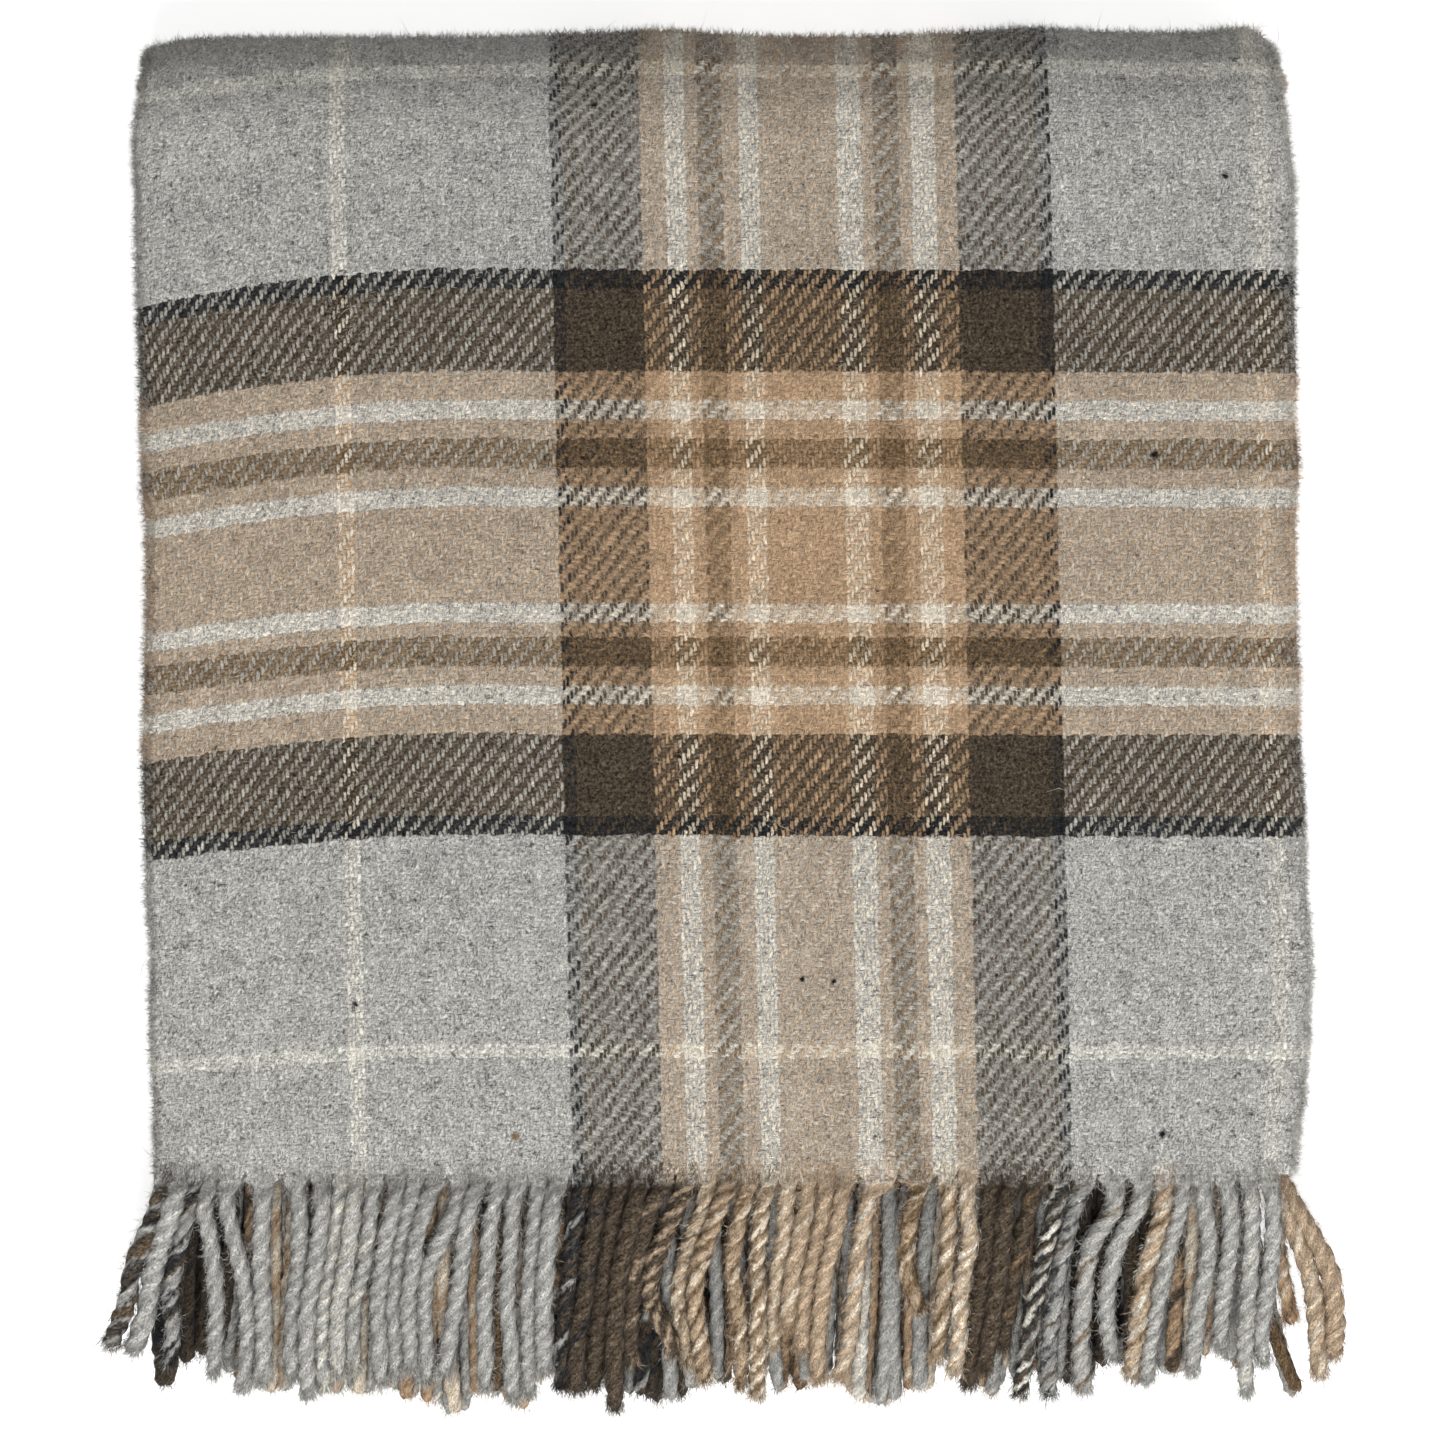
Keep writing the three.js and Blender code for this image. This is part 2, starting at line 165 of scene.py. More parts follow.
def sett_colour(u):
    """The warp yarn's colour at flat coordinate u, in mm."""
    k = (math.floor(u / WARP_YARN) + 0.5) * WARP_YARN - WARP_PIVOT
    t = abs((k + WARP_HALF) % (2 * WARP_HALF) - WARP_HALF) / PX
    colour = CAMEL
    for start, c in WARP_SETT:
        if t >= start:
            colour = c
    return np.array(colour)


# ---------------------------------------------------------------- smooth seeded noise
def waves(seed, n, shortest, longest):
    r = np.random.default_rng(seed)
    length = np.exp(r.uniform(math.log(shortest), math.log(longest), n))
    angle = r.uniform(0, TAU, n)
    k = TAU / length
    return np.stack([k * np.cos(angle), k * np.sin(angle), r.uniform(0, TAU, n), length / length.sum() * 2], 1)


def noise(w, x, y):
    out = np.zeros(np.broadcast(x, y).shape)
    for kx, ky, ph, a in w:
        out += a * np.sin(kx * x + ky * y + ph)
    return out


W_HEIGHT = waves(3, 12, 55, 260)
W_EDGE_L = waves(5, 8, 16, 160)
W_EDGE_R = waves(7, 8, 16, 160)
W_TOP = waves(9, 8, 18, 180)
W_PUCKER = waves(11, 16, 14, 45)

# How the lie of the real cloth departs from a straight-sided block, in mm.
EDGE_Y = np.array([-172, -153, -134, -115, -97, -60, -22, 16, 54, 91, 129, 166, 204, 223, 241, 262])
LEFT_OUT = np.array([-0.9, -0.2, 0.5, 0.2, 0.6, 0.5, 0.3, 0.0, -1.0, -0.8, -1.2, -1.4, -0.5, -0.7, -2.6, -4.5])
RIGHT_OUT = np.array([-5.0, -3.2, -1.0, 1.4, 3.0, 1.2, 0.6, 0.7, -0.6, 1.6, 2.0, 1.0, 2.0, 0.2, -0.6, -3.0])
TOP_X = np.array([-224, -218, -205, -196, -173, -106, -61, -38, -16, 29, 52, 97, 119, 164, 187, 197, 209, 217])
TOP_IN = np.array([10.0, 7.5, 4.5, 3.2, 3.0, 3.0, 1.9, 1.8, 0.6, 3.0, 3.4, 1.4, -0.3, 0.6, 0.4, -0.4, -1.2, 5.0])


# How much further in the sides really sit, and how steeply the top panel rolls off towards the top fold.
LEFT_TRIM = (np.array([-172, -164, -152, -141, -130, -119, -96, -74, -62, -29, -17, -6, 16, 27, 38, 50, 61, 72, 84, 95, 106, 117, 140, 151, 173, 196, 207, 218, 230, 241, 252]),
             np.array([0.8, 0.8, 1.9, 2.6, 2.2, 1.5, 1.9, 0.9, 1.5, 2.1, 1.9, 1.1, 1.1, 0.8, 1.9, 3.0, 3.4, 3.4, 3.0, 2.2, 0.4, -0.2, 0.2, 0.4, 1.5, 1.8, 0.8, 0.0, -0.2, 2.0, 2.4]))
RIGHT_TRIM = (np.array([-172, -152, -141, -130, -119, -107, -96, -74, -62, -51, -29, -17, -6, 5, 16, 27, 38, 50, 61, 72, 84, 95, 106, 117, 128, 140, 151, 162, 173, 185, 196, 230, 252]),
              np.array([2.2, 2.2, 0.2, 1.0, 0.2, 1.7, 0.8, 0.8, 1.8, 1.0, 0.8, 1.1, 1.9, 1.9, 1.2, 2.2, 1.9, 1.5, 2.2, 2.6, 2.2, 1.5, 1.9, 3.0, 1.7, 2.2, 1.9, 1.5, 1.1, 0.8, 0.4, 0.2, 2.0]))
_roll_y = np.linspace(214, 264, 101)
_roll_slope = np.interp(_roll_y, [214, 222, 226, 233.6, 238.5, 244, 248.6, 253, 262], [0, 0.02, 0.07, 0.25, 0.45, 0.48, 0.42, 0.30, 0.20])
_roll_drop = np.concatenate([[0], np.cumsum((_roll_slope[1:] + _roll_slope[:-1]) / 2 * np.diff(_roll_y))])


def lie(p):
    """The way the folded stack actually lies: soft sides, uneven edges, a slightly hollowed top."""
    x, y, z = p[..., 0], p[..., 1], p[..., 2]
    q = x + SKEW * y
    fade = np.exp(np.minimum(0, y - FRINGE_Y) / 16.0)
    dl, dr = q - LEFT, RIGHT - q
    layer = z / PITCH
    left = np.interp(y, EDGE_Y, LEFT_OUT) - np.interp(y, *LEFT_TRIM) + 1.1 * noise(W_EDGE_L, y, layer * 9) + 0.5 * np.sin(layer * 1.9 + y / 70)
    right = np.interp(y, EDGE_Y, RIGHT_OUT) - np.interp(y, *RIGHT_TRIM) + 1.1 * noise(W_EDGE_R, y, layer * 9) + 0.5 * np.sin(layer * 2.3 + 1 + y / 60)
    x2 = x - left * np.exp(-np.maximum(dl, 0) / 30) * fade + right * np.exp(-np.maximum(dr, 0) / 30) * fade
    top = np.interp(q, TOP_X, TOP_IN) + 0.8 * noise(W_TOP, x, layer * 4)
    up = np.clip((y - (TOP_Y - 60)) / 60, 0, 1) ** 2
    y2 = y - top * up
    share = z / (TOP_Z + HALF)
    droop = 0.075 * np.exp(-np.maximum(dl, 0) / 11) + 0.045 * np.exp(-np.maximum(dr, 0) / 9)
    z2 = z * (1 - droop * fade) + share * fade * (0.9 * noise(W_HEIGHT, x, y) + 0.16 * noise(W_PUCKER, x, y) - 0.5)
    z2 = z2 - share * np.interp(y, _roll_y, _roll_drop)
    return np.stack([x2, y2, z2], -1)


# ---------------------------------------------------------------- mesh helper
def make_mesh(name, verts_mm, faces, uvs=(), colour=None, smooth=True):
    """uvs: (layer name, array of one UV for each face corner in order)."""
    me = bpy.data.meshes.new(name)
    me.from_pydata(((verts_mm + SHIFT) / 1000.0).tolist(), [], faces)
    for layer, values in uvs:
        uv = me.uv_layers.new(name=layer)
        uv.data.foreach_set("uv", np.asarray(values, dtype=np.float32).ravel())
    if colour is not None:
        att = me.color_attributes.new(name="Yarn", type="FLOAT_COLOR", domain="POINT")
        c = np.ones((len(verts_mm), 4), dtype=np.float32)
        c[:, :colour.shape[1]] = colour
        att.data.foreach_set("color", c.ravel())
    if smooth:
        me.polygons.foreach_set("use_smooth", np.ones(len(me.polygons), dtype=bool))
    me.update()
    ob = bpy.data.objects.new(name, me)
    bpy.context.scene.collection.objects.link(ob)
    return ob


# ---------------------------------------------------------------- the cloth
def width_nodes(step_m, step_out):
    """x, depth, normal x, normal depth, flat coordinate u, from the left third's selvedge to the right third's."""
    rl, rr = PITCH / 2, PITCH
    xl, xr = LEFT + HALF + rl, RIGHT - HALF - rr
    rows = []
    a0 = xr - 1.2
    for x in np.linspace(a0, xl, int((a0 - xl) / step_out) + 1)[:-1]:
        rows.append((x, PITCH, 0, 1, xl - math.pi * rl - (x - xl)))
    n = 10
    for i in range(n + 1):
        a = math.pi / 2 + math.pi * i / n
        rows.append((xl + rl * math.cos(a), rl + rl * math.sin(a), math.cos(a), math.sin(a), xl - math.pi * rl * (1 - i / n)))
    for x in np.linspace(xl, xr, int((xr - xl) / step_m) + 1)[1:-1]:
        rows.append((x, 0, 0, -1, x))
    n = 14
    for i in range(n + 1):
        a = -math.pi / 2 + math.pi * i / n
        rows.append((xr + rr * math.cos(a), rr + rr * math.sin(a), math.cos(a), math.sin(a), xr + math.pi * rr * i / n))
    for x in np.linspace(xr, xl + 2.0, int((xr - xl) / step_out) + 1)[1:]:
        rows.append((x, 2 * PITCH, 0, 1, xr + math.pi * rr + (xr - x)))
    return np.array(rows), (xl, xr)


def length_nodes(step_top, step_under, step_in):
    """y, z, depth direction y and z, flat coordinate v, from the top fringed end to the other."""
    ro = (LAYERS - 1) * PITCH / 2
    yc, zc = TOP_Y - ro - HALF, HALF + ro
    rm = 2.5 * PITCH
    yf, zf = MID_Y + rm + HALF, HALF + rm
    ri = PITCH / 2
    rows, v = [], 0.0
    ys = np.linspace(FRINGE_Y, yc, int((yc - FRINGE_Y) / step_top) + 1)
    for y in ys[:-1]:
        rows.append((y, TOP_Z, 0, -1, y - FRINGE_Y))
    v = yc - FRINGE_Y
    marks = []
    n = 22
    for i in range(n + 1):
        a = math.pi / 2 - math.pi * i / n
        rows.append((yc + ro * math.cos(a), zc + ro * math.sin(a), -math.cos(a), -math.sin(a), v + math.pi * ro * i / n))
    marks.append(v + math.pi * ro / 2)
    v += math.pi * ro
    ys = np.linspace(yc, yf, int((yc - yf) / step_under) + 1)
    for y in ys[1:-1]:
        rows.append((y, HALF, 0, 1, v + yc - y))
    v += yc - yf
    n = 12
    for i in range(n + 1):
        a = -math.pi / 2 - math.pi * i / n
        rows.append((yf + rm * math.cos(a), zf + rm * math.sin(a), -math.cos(a), -math.sin(a), v + math.pi * rm * i / n))
    marks.append(v + math.pi * rm / 2)
    v += math.pi * rm
    ys = np.linspace(yf, yc, int((yc - yf) / step_in) + 1)
    for y in ys[1:-1]:
        rows.append((y, zf + rm, 0, -1, v + y - yf))
    v += yc - yf
    n = 22
    for i in range(n + 1):
        a = -math.pi / 2 + math.pi * i / n
        rows.append((yc + ri * math.cos(a), zc + ri * math.sin(a), math.cos(a), math.sin(a), v + math.pi * ri * i / n))
    v += math.pi * ri
    ys = np.linspace(yc, FRINGE_Y, int((yc - FRINGE_Y) / step_in) + 1)
    for y in ys[1:]:
        rows.append((y, TOP_Z - 5 * PITCH, 0, 1, v + yc - y))
    return np.array(rows), marks


across, (XL, XR) = width_nodes(5.0, 14.0)
along, MARKS = length_nodes(5.0, 10.0, 20.0)
NU, NV = len(across), len(along)
FLAT_W = float(across[-1, 4] - across[0, 4])
FLAT_L = float(along[-1, 4])


def weft_bow(u, v):
    """The picks bow towards the fringe at the left edge of the top panel, and ease out along the cloth."""
    x = np.clip((u - LEFT) / 118.0, -1.0, 1.0)
    left = np.where(x < 0, 1.0 + 0.3 * x, (1 - x) ** 1.7)
    amount = np.interp(v, [0, 46, 128, 233, 335, 412, 500, 700], [3, 7.5, 10.5, 12.7, 14.6, 10.5, 4, 0])
    slope = -0.0055 * np.clip(u, -90, 260) * np.interp(v, [0, 500, 800], [1, 1, 0])
    over = np.clip((v - 390.0) / 19.0, 0, 1)
    return left * amount - slope * 0.4 + 4.5 * over * over * (3 - 2 * over)


def build_cloth():
    pts = np.zeros((2, NV, NU, 3))
    for s, side in enumerate((HALF, -HALF)):
        d = across[None, :, 1] + side * across[None, :, 3]
        y = along[:, None, 0] + d * along[:, None, 2]
        z = along[:, None, 1] + d * along[:, None, 3]
        x = across[None, :, 0] + side * across[None, :, 2] - SKEW * y
        pts[s] = np.stack([x, y, z], -1)
    verts = lie(pts).reshape(-1, 3)
    uu = np.broadcast_to(across[None, :, 4], (NV, NU))
    vv = np.broadcast_to(along[:, None, 4], (NV, NU))
    weave = np.stack([uu, vv + weft_bow(uu, vv)], -1) / 1000.0

    def at(s, j, i):
        return s * NU * NV + j * NU + i

    # Where each part of the cloth goes in the baked map: u and v limits, then the rectangle.
    um0, um1 = XL - 2.7, XR + 5.4
    u0, u1 = across[0, 4], across[-1, 4]
    f2, f1 = MARKS
    charts = [
        (um0, um1, 0, f2, (0.002, 0.205, 0.738, 0.998)),
        (um0, um1, f2, f1, (0.748, 0.455, 0.998, 0.998)),
        (um0, um1, f1, FLAT_L, (0.748, 0.205, 0.998, 0.445)),
        (u0, um0, 0, FLAT_L, (0.002, 0.002, 0.365, 0.195)),
        (um1, u1, 0, FLAT_L, (0.375, 0.002, 0.738, 0.195)),
    ]
    us, vs = across[:, 4], along[:, 4]
    faces, w_uv, b_uv = [], [], []
    for j in range(NV - 1):
        vm = (vs[j] + vs[j + 1]) / 2
        for i in range(NU - 1):
            um = (us[i] + us[i + 1]) / 2
            for ua, ub, va, vb, (x0, y0, x1, y1) in charts:
                if ua <= um <= ub and va <= vm <= vb:
                    break
            def place(jj, ii):
                fu = min(max((us[ii] - ua) / (ub - ua), 0), 1)
                fv = min(max((vs[jj] - va) / (vb - va), 0), 1)
                return (x0 + (x1 - x0) * fu, y0 + (y1 - y0) * fv)
            faces.append((at(0, j, i), at(0, j, i + 1), at(0, j + 1, i + 1), at(0, j + 1, i)))
            for jj, ii in ((j, i), (j, i + 1), (j + 1, i + 1), (j + 1, i)):
                w_uv.append(weave[jj, ii])
                b_uv.append(place(jj, ii))
            faces.append((at(1, j, i), at(1, j + 1, i), at(1, j + 1, i + 1), at(1, j, i + 1)))
            for jj, ii in ((j, i), (j + 1, i), (j + 1, i + 1), (j, i + 1)):
                w_uv.append(weave[jj, ii])
                b_uv.append((0.748 + 0.25 * (us[ii] - u0) / (u1 - u0), 0.002 + 0.118 * vs[jj] / FLAT_L))
    rim = [((0, i), (0, i + 1), 0) for i in range(NU - 1)] + [((NV - 1, i + 1), (NV - 1, i), 1) for i in range(NU - 1)]
    rim += [((j + 1, 0), (j, 0), 2) for j in range(NV - 1)] + [((j, NU - 1), (j + 1, NU - 1), 3) for j in range(NV - 1)]
    for (ja, ia), (jb, ib), row in rim:
        faces.append((at(0, ja, ia), at(1, ja, ia), at(1, jb, ib), at(0, jb, ib)))
        for (jj, ii), low in (((ja, ia), 0), ((ja, ia), 1), ((jb, ib), 1), ((jb, ib), 0)):
            w_uv.append(weave[jj, ii])
            f = (us[ii] - u0) / (u1 - u0) if row < 2 else vs[jj] / FLAT_L
            b_uv.append((0.748 + 0.25 * f, 0.130 + row * 0.018 + 0.012 * low))
    # Wind the faces outwards.
    p = verts
    f = np.array(faces)
    vol = np.einsum("ij,ij->i", p[f[:, 0]], np.cross(p[f[:, 1]], p[f[:, 2]])).sum() + np.einsum("ij,ij->i", p[f[:, 0]], np.cross(p[f[:, 2]], p[f[:, 3]])).sum()
    w_uv, b_uv = np.array(w_uv).reshape(-1, 4, 2), np.array(b_uv).reshape(-1, 4, 2)
    if vol < 0:
        f, w_uv, b_uv = f[:, ::-1], w_uv[:, ::-1], b_uv[:, ::-1]
    return make_mesh("woven_cloth_folded", verts, f.tolist(), [("Weave", w_uv.reshape(-1, 2)), ("OFBake", b_uv.reshape(-1, 2))])


# ---------------------------------------------------------------- cords
def row_z(row, s):
    root = TOP_Z - row * PITCH
    tip = 2.0 + (5 - row) * 4.3
    return root + (tip - root) * s


def row_half(s):
    return 1.1 + 0.8 * s


def spline(keys, values, at):
    """A smooth line through the values (Catmull-Rom by chord)."""
    keys, values = np.asarray(keys, float), np.asarray(values, float)
    slope = np.gradient(values, keys)
    k = np.clip(np.searchsorted(keys, at, side="right") - 1, 0, len(keys) - 2)
    h = keys[k + 1] - keys[k]
    t = (at - keys[k]) / h
    return ((2 * t**3 - 3 * t**2 + 1) * values[k] + (t**3 - 2 * t**2 + t) * h * slope[k]
            + (-2 * t**3 + 3 * t**2) * values[k + 1] + (t**3 - t**2) * h * slope[k + 1])


def cord_surface(line, radius, flat, yarns, ring, pitch, phase, seed, painted_shading=(0.41, 0.80), ridge=0.10, square=None, flat_line=None):
    """A twisted cord along line. yarns are the colours round it; flat squeezes its height. Returns vertices, faces, colours, uvs."""
    r = np.random.default_rng(seed)
    n = len(line)
    tangent = np.gradient(line, axis=0)
    tangent /= np.linalg.norm(tangent, axis=1, keepdims=True)
    side = np.cross(tangent, [0, 0, 1.0])
    side /= np.linalg.norm(side, axis=1, keepdims=True)
    up = np.cross(side, tangent)
    s = np.concatenate([[0], np.cumsum(np.linalg.norm(np.diff(line, axis=0), axis=1))])
    wob = 1 + 0.035 * np.sin(s / 3.7 + r.uniform(0, TAU)) + 0.03 * np.sin(s / 1.5 + r.uniform(0, TAU))
    left = s[-1] - s
    blunt = radius * 0.8
    taper = r.uniform(0.0, 0.38)
    end = np.where(left < blunt, np.sqrt(np.clip(1 - (1 - left / blunt) ** 2, 0, 1)), 1.0)
    end = np.maximum(end, 0.22) * (1 - taper * np.exp(-left / 5.0))
    jit = r.uniform(-0.5, 0.5)
    turn = phase - TAU * (s / pitch) * (1 + 0.05 * np.sin(s / 9 + jit * 6)) * np.clip(s / 9, 0.35, 1)
    th = TAU * np.arange(ring) / ring
    psi = th[None, :] - turn[:, None]
    lobe = 1 - ridge + ridge * np.cos(3 * psi + jit) * np.clip(s / 7, 0, 1)[:, None]
    rad = (radius * wob * end)[:, None] * lobe
    rough = 0.025 + 0.05 * np.exp(-left / 3.5)
    rad = rad * (1 + rough[:, None] * r.standard_normal(rad.shape))
    e = np.ones((n, 1)) if square is None else square[:, None]
    ct = np.sign(np.cos(th)) * np.abs(np.cos(th)) ** e
    st = np.sign(np.sin(th)) * np.abs(np.sin(th)) ** e
    offset = rad[..., None] * (ct[..., None] * side[:, None, :] + (st * flat[:, None])[..., None] * up[:, None, :])
    verts = line[:, None, :] + offset
    root = np.zeros((n, ring))
    weave = np.zeros((n, ring, 2))
    if flat_line is not None:
        q = flat_line[:, None, :] + offset
        weave[..., 0] = q[..., 0] + SKEW * q[..., 1]
        weave[..., 1] = q[..., 1] - FRINGE_Y
        weave[..., 1] += weft_bow(weave[..., 0], weave[..., 1])
        root = np.clip((q[..., 1] + 175.5) / 5.0, 0, 1)
    soft = psi + 0.22 * np.sin(s / 1.9 + jit * 5)[:, None] + 0.18 * r.standard_normal(psi.shape)
    k = np.floor((soft % TAU) / TAU * len(yarns)).astype(int) % len(yarns)
    own, mean = np.asarray(yarns)[k], np.exp(np.log(np.asarray(yarns)).mean(0))
    bleed = np.clip(0.24 + 0.16 * np.sin(s / 4.3 + jit * 9) + 0.10 * r.standard_normal(n), 0.05, 0.7)[:, None, None]
    felt = own * (1 - bleed) + mean * bleed
    # painted light and shade: the cord's colour is painted lighter along its upper side and darker down its flanks
    painted_top_light = np.clip(np.sin(th), 0, 1) ** 0.75
    # painted shade: the 0.84 + 0.16 * cos(3 * psi) factor darkens the grooves between the plies
    cols = felt * (0.84 + 0.16 * np.cos(3 * psi + jit))[..., None] * (1 + 0.06 * r.standard_normal(psi.shape))[..., None] * (painted_shading[0] + painted_shading[1] * painted_top_light)[None, :, None]
    cols = np.concatenate([cols, 1 - root[..., None]], -1)
    ragged = 0.9 * r.uniform(-1, 1, ring)[None, :] * np.exp(-left / 2.2)[:, None]
    verts = verts + tangent[:, None, :] * ragged[..., None]
    verts, cols = verts.reshape(-1, 3), cols.reshape(-1, 4)
    faces, fuv, buv, wuv = [], [], [], []
    for j in range(n - 1):
        for i in range(ring):
            i2 = (i + 1) % ring
            faces.append((j * ring + i, j * ring + i2, (j + 1) * ring + i2, (j + 1) * ring + i))
            for jj, ii in ((j, i), (j, i + 1), (j + 1, i + 1), (j + 1, i)):
                fuv.append(((th[1] * ii - 0.72 * turn[jj]) * 3.3 / 1000, s[jj] / 1000))
                buv.append((ii / ring, s[jj] / s[-1]))
                wuv.append(tuple(weave[jj, ii % ring] / 1000))
    base = len(verts)
    verts = np.vstack([verts, line[0], line[-1]])
    cols = np.vstack([cols, cols[:ring].mean(0), cols[-ring:].mean(0)])
    for i in range(ring):
        i2 = (i + 1) % ring
        faces.append((base, i2, i))
        fuv += [(0, 0), (i2 * 0.001, 0), (i * 0.001, 0)]
        buv += [((i + 0.5) / ring, 0), ((i + 1) / ring, 0.004), (i / ring, 0.004)]
        wuv += [tuple(weave[0, i] / 1000)] * 3
        o = (n - 1) * ring
        faces.append((base + 1, o + i, o + i2))
        fuv += [(0, s[-1] / 1000), (i * 0.001, s[-1] / 1000), (i2 * 0.001, s[-1] / 1000)]
        buv += [((i + 0.5) / ring, 1), (i / ring, 0.996), ((i + 1) / ring, 0.996)]
        wuv += [(0.0, 0.0)] * 3
    return verts, faces, cols, (fuv, buv, wuv), turn, radius * wob * end


def signed(verts, faces):
    t = 0.0
    for f in faces[: max(200, len(faces) // 6)]:
        a, b, c = verts[f[0]], verts[f[1]], verts[f[2]]
        t += float(np.dot(np.cross(b - a, c - a), a - verts.mean(0)))
    return t


def yarn_list(x_root, y_root, row, count, half=4.1, seed=0):
    """The warp yarns gathered into a cord whose root is at x_root, in the layer that this row's fringe belongs to."""
    r = np.random.default_rng(seed)
    q = x_root + SKEW * y_root
    out = []
    for k in range(count):
        x = q + half * (2 * (k + 0.5) / count - 1)
        layer = {0: "M", 1: "A", 2: "C", 3: "C", 4: "A", 5: "M"}[row]
        if layer == "M":
            u = x
        elif layer == "A":
            u = XL - math.pi * PITCH / 2 - (x - XL)
        else:
            u = XR + math.pi * PITCH + (XR - x)
        c = sett_colour(u) * r.uniform(0.9, 1.1)
        out.append(c)
    return out


def lean_line(x_of, y0, y1, z_of, step):
    n = max(8, int(abs(y1 - y0 + 3.4) / step))
    y = np.concatenate([np.linspace(y0, y1 + 3.4, n), y1 + 3.4 * (1 - np.sin(np.linspace(0, math.pi / 2, 6)[1:]))])
    return np.stack([x_of(y), y, z_of(y)], 1)


STEP = 1.25
# Where two top cords press together, every other one rides up over its neighbours.
LIFT = np.zeros((len(FRONT) + 12, 6))
for _i in range(1, len(FRONT), 2):
    for _k in range(1, 6):
        _gap = min(abs(FRONT[_i, _k] - FRONT[_j, _k]) for _j in (_i - 1, _i + 1) if _j < len(FRONT))
        LIFT[_i, _k] = 0.75 * math.sqrt(max(0.0, 6.9 ** 2 - _gap ** 2))
# The strip of cloth edge that each top cord is twisted from.
_mid = (FRONT[1:, 0] + FRONT[:-1, 0]) / 2
SHARE_L = np.concatenate([[-214.6], _mid])
SHARE_R = np.concatenate([_mid, [211.6]])
ROOT_TOP = -164.0


def front_cord(i, control, row_level=None, name=None):
    x0, yt = control[0], control[7]
    length = -171.4 - yt
    keys = [k for k in STATIONS if k < length - 5]
    vals = list(control[:len(keys)]) + [control[6]]
    keys = keys + [length]
    first = row_level is None
    start = ROOT_TOP if first else -168.5
    r = np.random.default_rng(900 + i)
    full = (3.5 if first else 4.1) * r.uniform(0.95, 1.07) * (1.16 if i < 2 else 1.0)
    arch = r.uniform(6.6, 8.6)
    middle, half = ((SHARE_L[i] + SHARE_R[i]) / 2, (SHARE_R[i] - SHARE_L[i]) / 2 + 0.25) if first else (x0, full)

    def x_of(y):
        x = spline(keys, vals, np.clip(-171.4 - y, 0, None))
        t = np.clip((-170.0 - y) / 9.0, 0, 1)
        return middle + (x - middle) * t * t * (3 - 2 * t) if first else x

    def level(y):
        s = np.clip((ROOT_Y - y) / REF_LEN, 0, 1)
        if first:
            rr = 1.1 + (3.1 - 1.1) * np.clip(s / 0.085, 0, 1)
            z = row_z(1, s) + row_half(s) + 0.35 + rr
            edge = np.clip((-169.0 - y) / 13.0, 0, 1)
            edge = edge * edge * (3 - 2 * edge)
            top = TOP_Z - 0.12 + 0.30 * np.clip((ROOT_TOP - y) / 5.0, 0, 1)
            lift = np.interp(-171.4 - y, STATIONS, LIFT[i])
            return top + (z - top) * edge + lift + 0.5 * np.sin(s * 7 + i * 1.3) * np.clip(s * 4, 0, 1)
        return row_z(1, s) + 0.9 * np.clip(s * 3, 0, 1)

    fine = np.linspace(start, start - 16, 24)[:-1]
    rest = lean_line(x_of, start - 16, yt, level, STEP)[:, 1]
    y = np.concatenate([fine, rest])
    flat_line = np.stack([x_of(y), y, level(y)], 1)
    line = lie(flat_line)
    d = start - y
    if first:
        q = np.clip((d - arch) / 6.5, 0, 1)
        open_ = np.sqrt(1 - (1 - q) ** 2)
        waist = full * (0.97 + 0.03 * np.clip((d - 16) / 14, 0, 1))
        radius = half + (waist - half) * open_
        roll = np.clip((d - 6.0) / 9.0, 0, 1)
        roll = roll * roll * (3 - 2 * roll)
        high = 1.22 + (full * 0.93 - 1.22) * roll
        flat = high / radius
        square = 0.42 + 0.58 * np.clip((d - 6.5) / 7.5, 0, 1)
    else:
        radius = full * (0.9 + 0.1 * np.clip((d - 14) / 22, 0, 1))
        flat = 0.4 + 0.55 * np.clip((d - 5.6) / 7.5, 0, 1)
        square = np.ones(len(d))
    yarns = yarn_list(x0, ROOT_Y, 0 if first else 1, 6, seed=i + 40)
    if first and i + 1 in PLIES:
        yarns = [np.array(c) * r.uniform(0.92, 1.08) for c in PLIES[i + 1]]
    if not first:
        # painted shade: the splayed lower-row cords' yarns are painted 8% darker
        yarns = [np.array(c) * 0.92 for c in ((CAMEL, CAMEL, WHITE, CAMEL, CAMEL, CAMEL, CAMEL, WHITE, CAMEL) if i == 60 else (CAMEL,) * 9)]
    # painted shade: the first twenty cords, on the left, are painted 5% darker
    yarns = [np.array(c) * (1.34 if sum(c) < 0.25 else 1.0) * (0.95 if i < 20 else 1.0) for c in yarns]
    yarns = [(c * 0.80 + 0.20 * c.mean()) * (1.09, 1.13, 1.12) if c[0] > 1.6 * c[2] and c[0] > 0.3 else c for c in yarns]
    v, f, c, uvs, turn, radius = cord_surface(line, radius, flat, yarns, 20, 24.0 * r.uniform(0.9, 1.1), r.uniform(0, TAU), 300 + i,
                                      square=square, flat_line=flat_line if first else None)
    if signed(v, f) < 0:
        f, *uvs = flip(f, *uvs)
    ob = make_mesh(name or f"twisted_cord_{i + 1:02d}", v, f, [("Strand", uvs[0]), ("OFBake", uvs[1]), ("Weave", uvs[2])], c)
    last_cord[:] = [v, f, c, uvs]
    return ob, (line, radius, yarns, turn, flat)


last_cord = []
LOOSE = [(213.5, -172.0, 31.5), (211.4, -181.0, 31.0), (210.2, -193.0, 29.5), (210.8, -205.0, 28.5), (212.6, -215.0, 28.0), (214.4, -226.0, 27.5)]


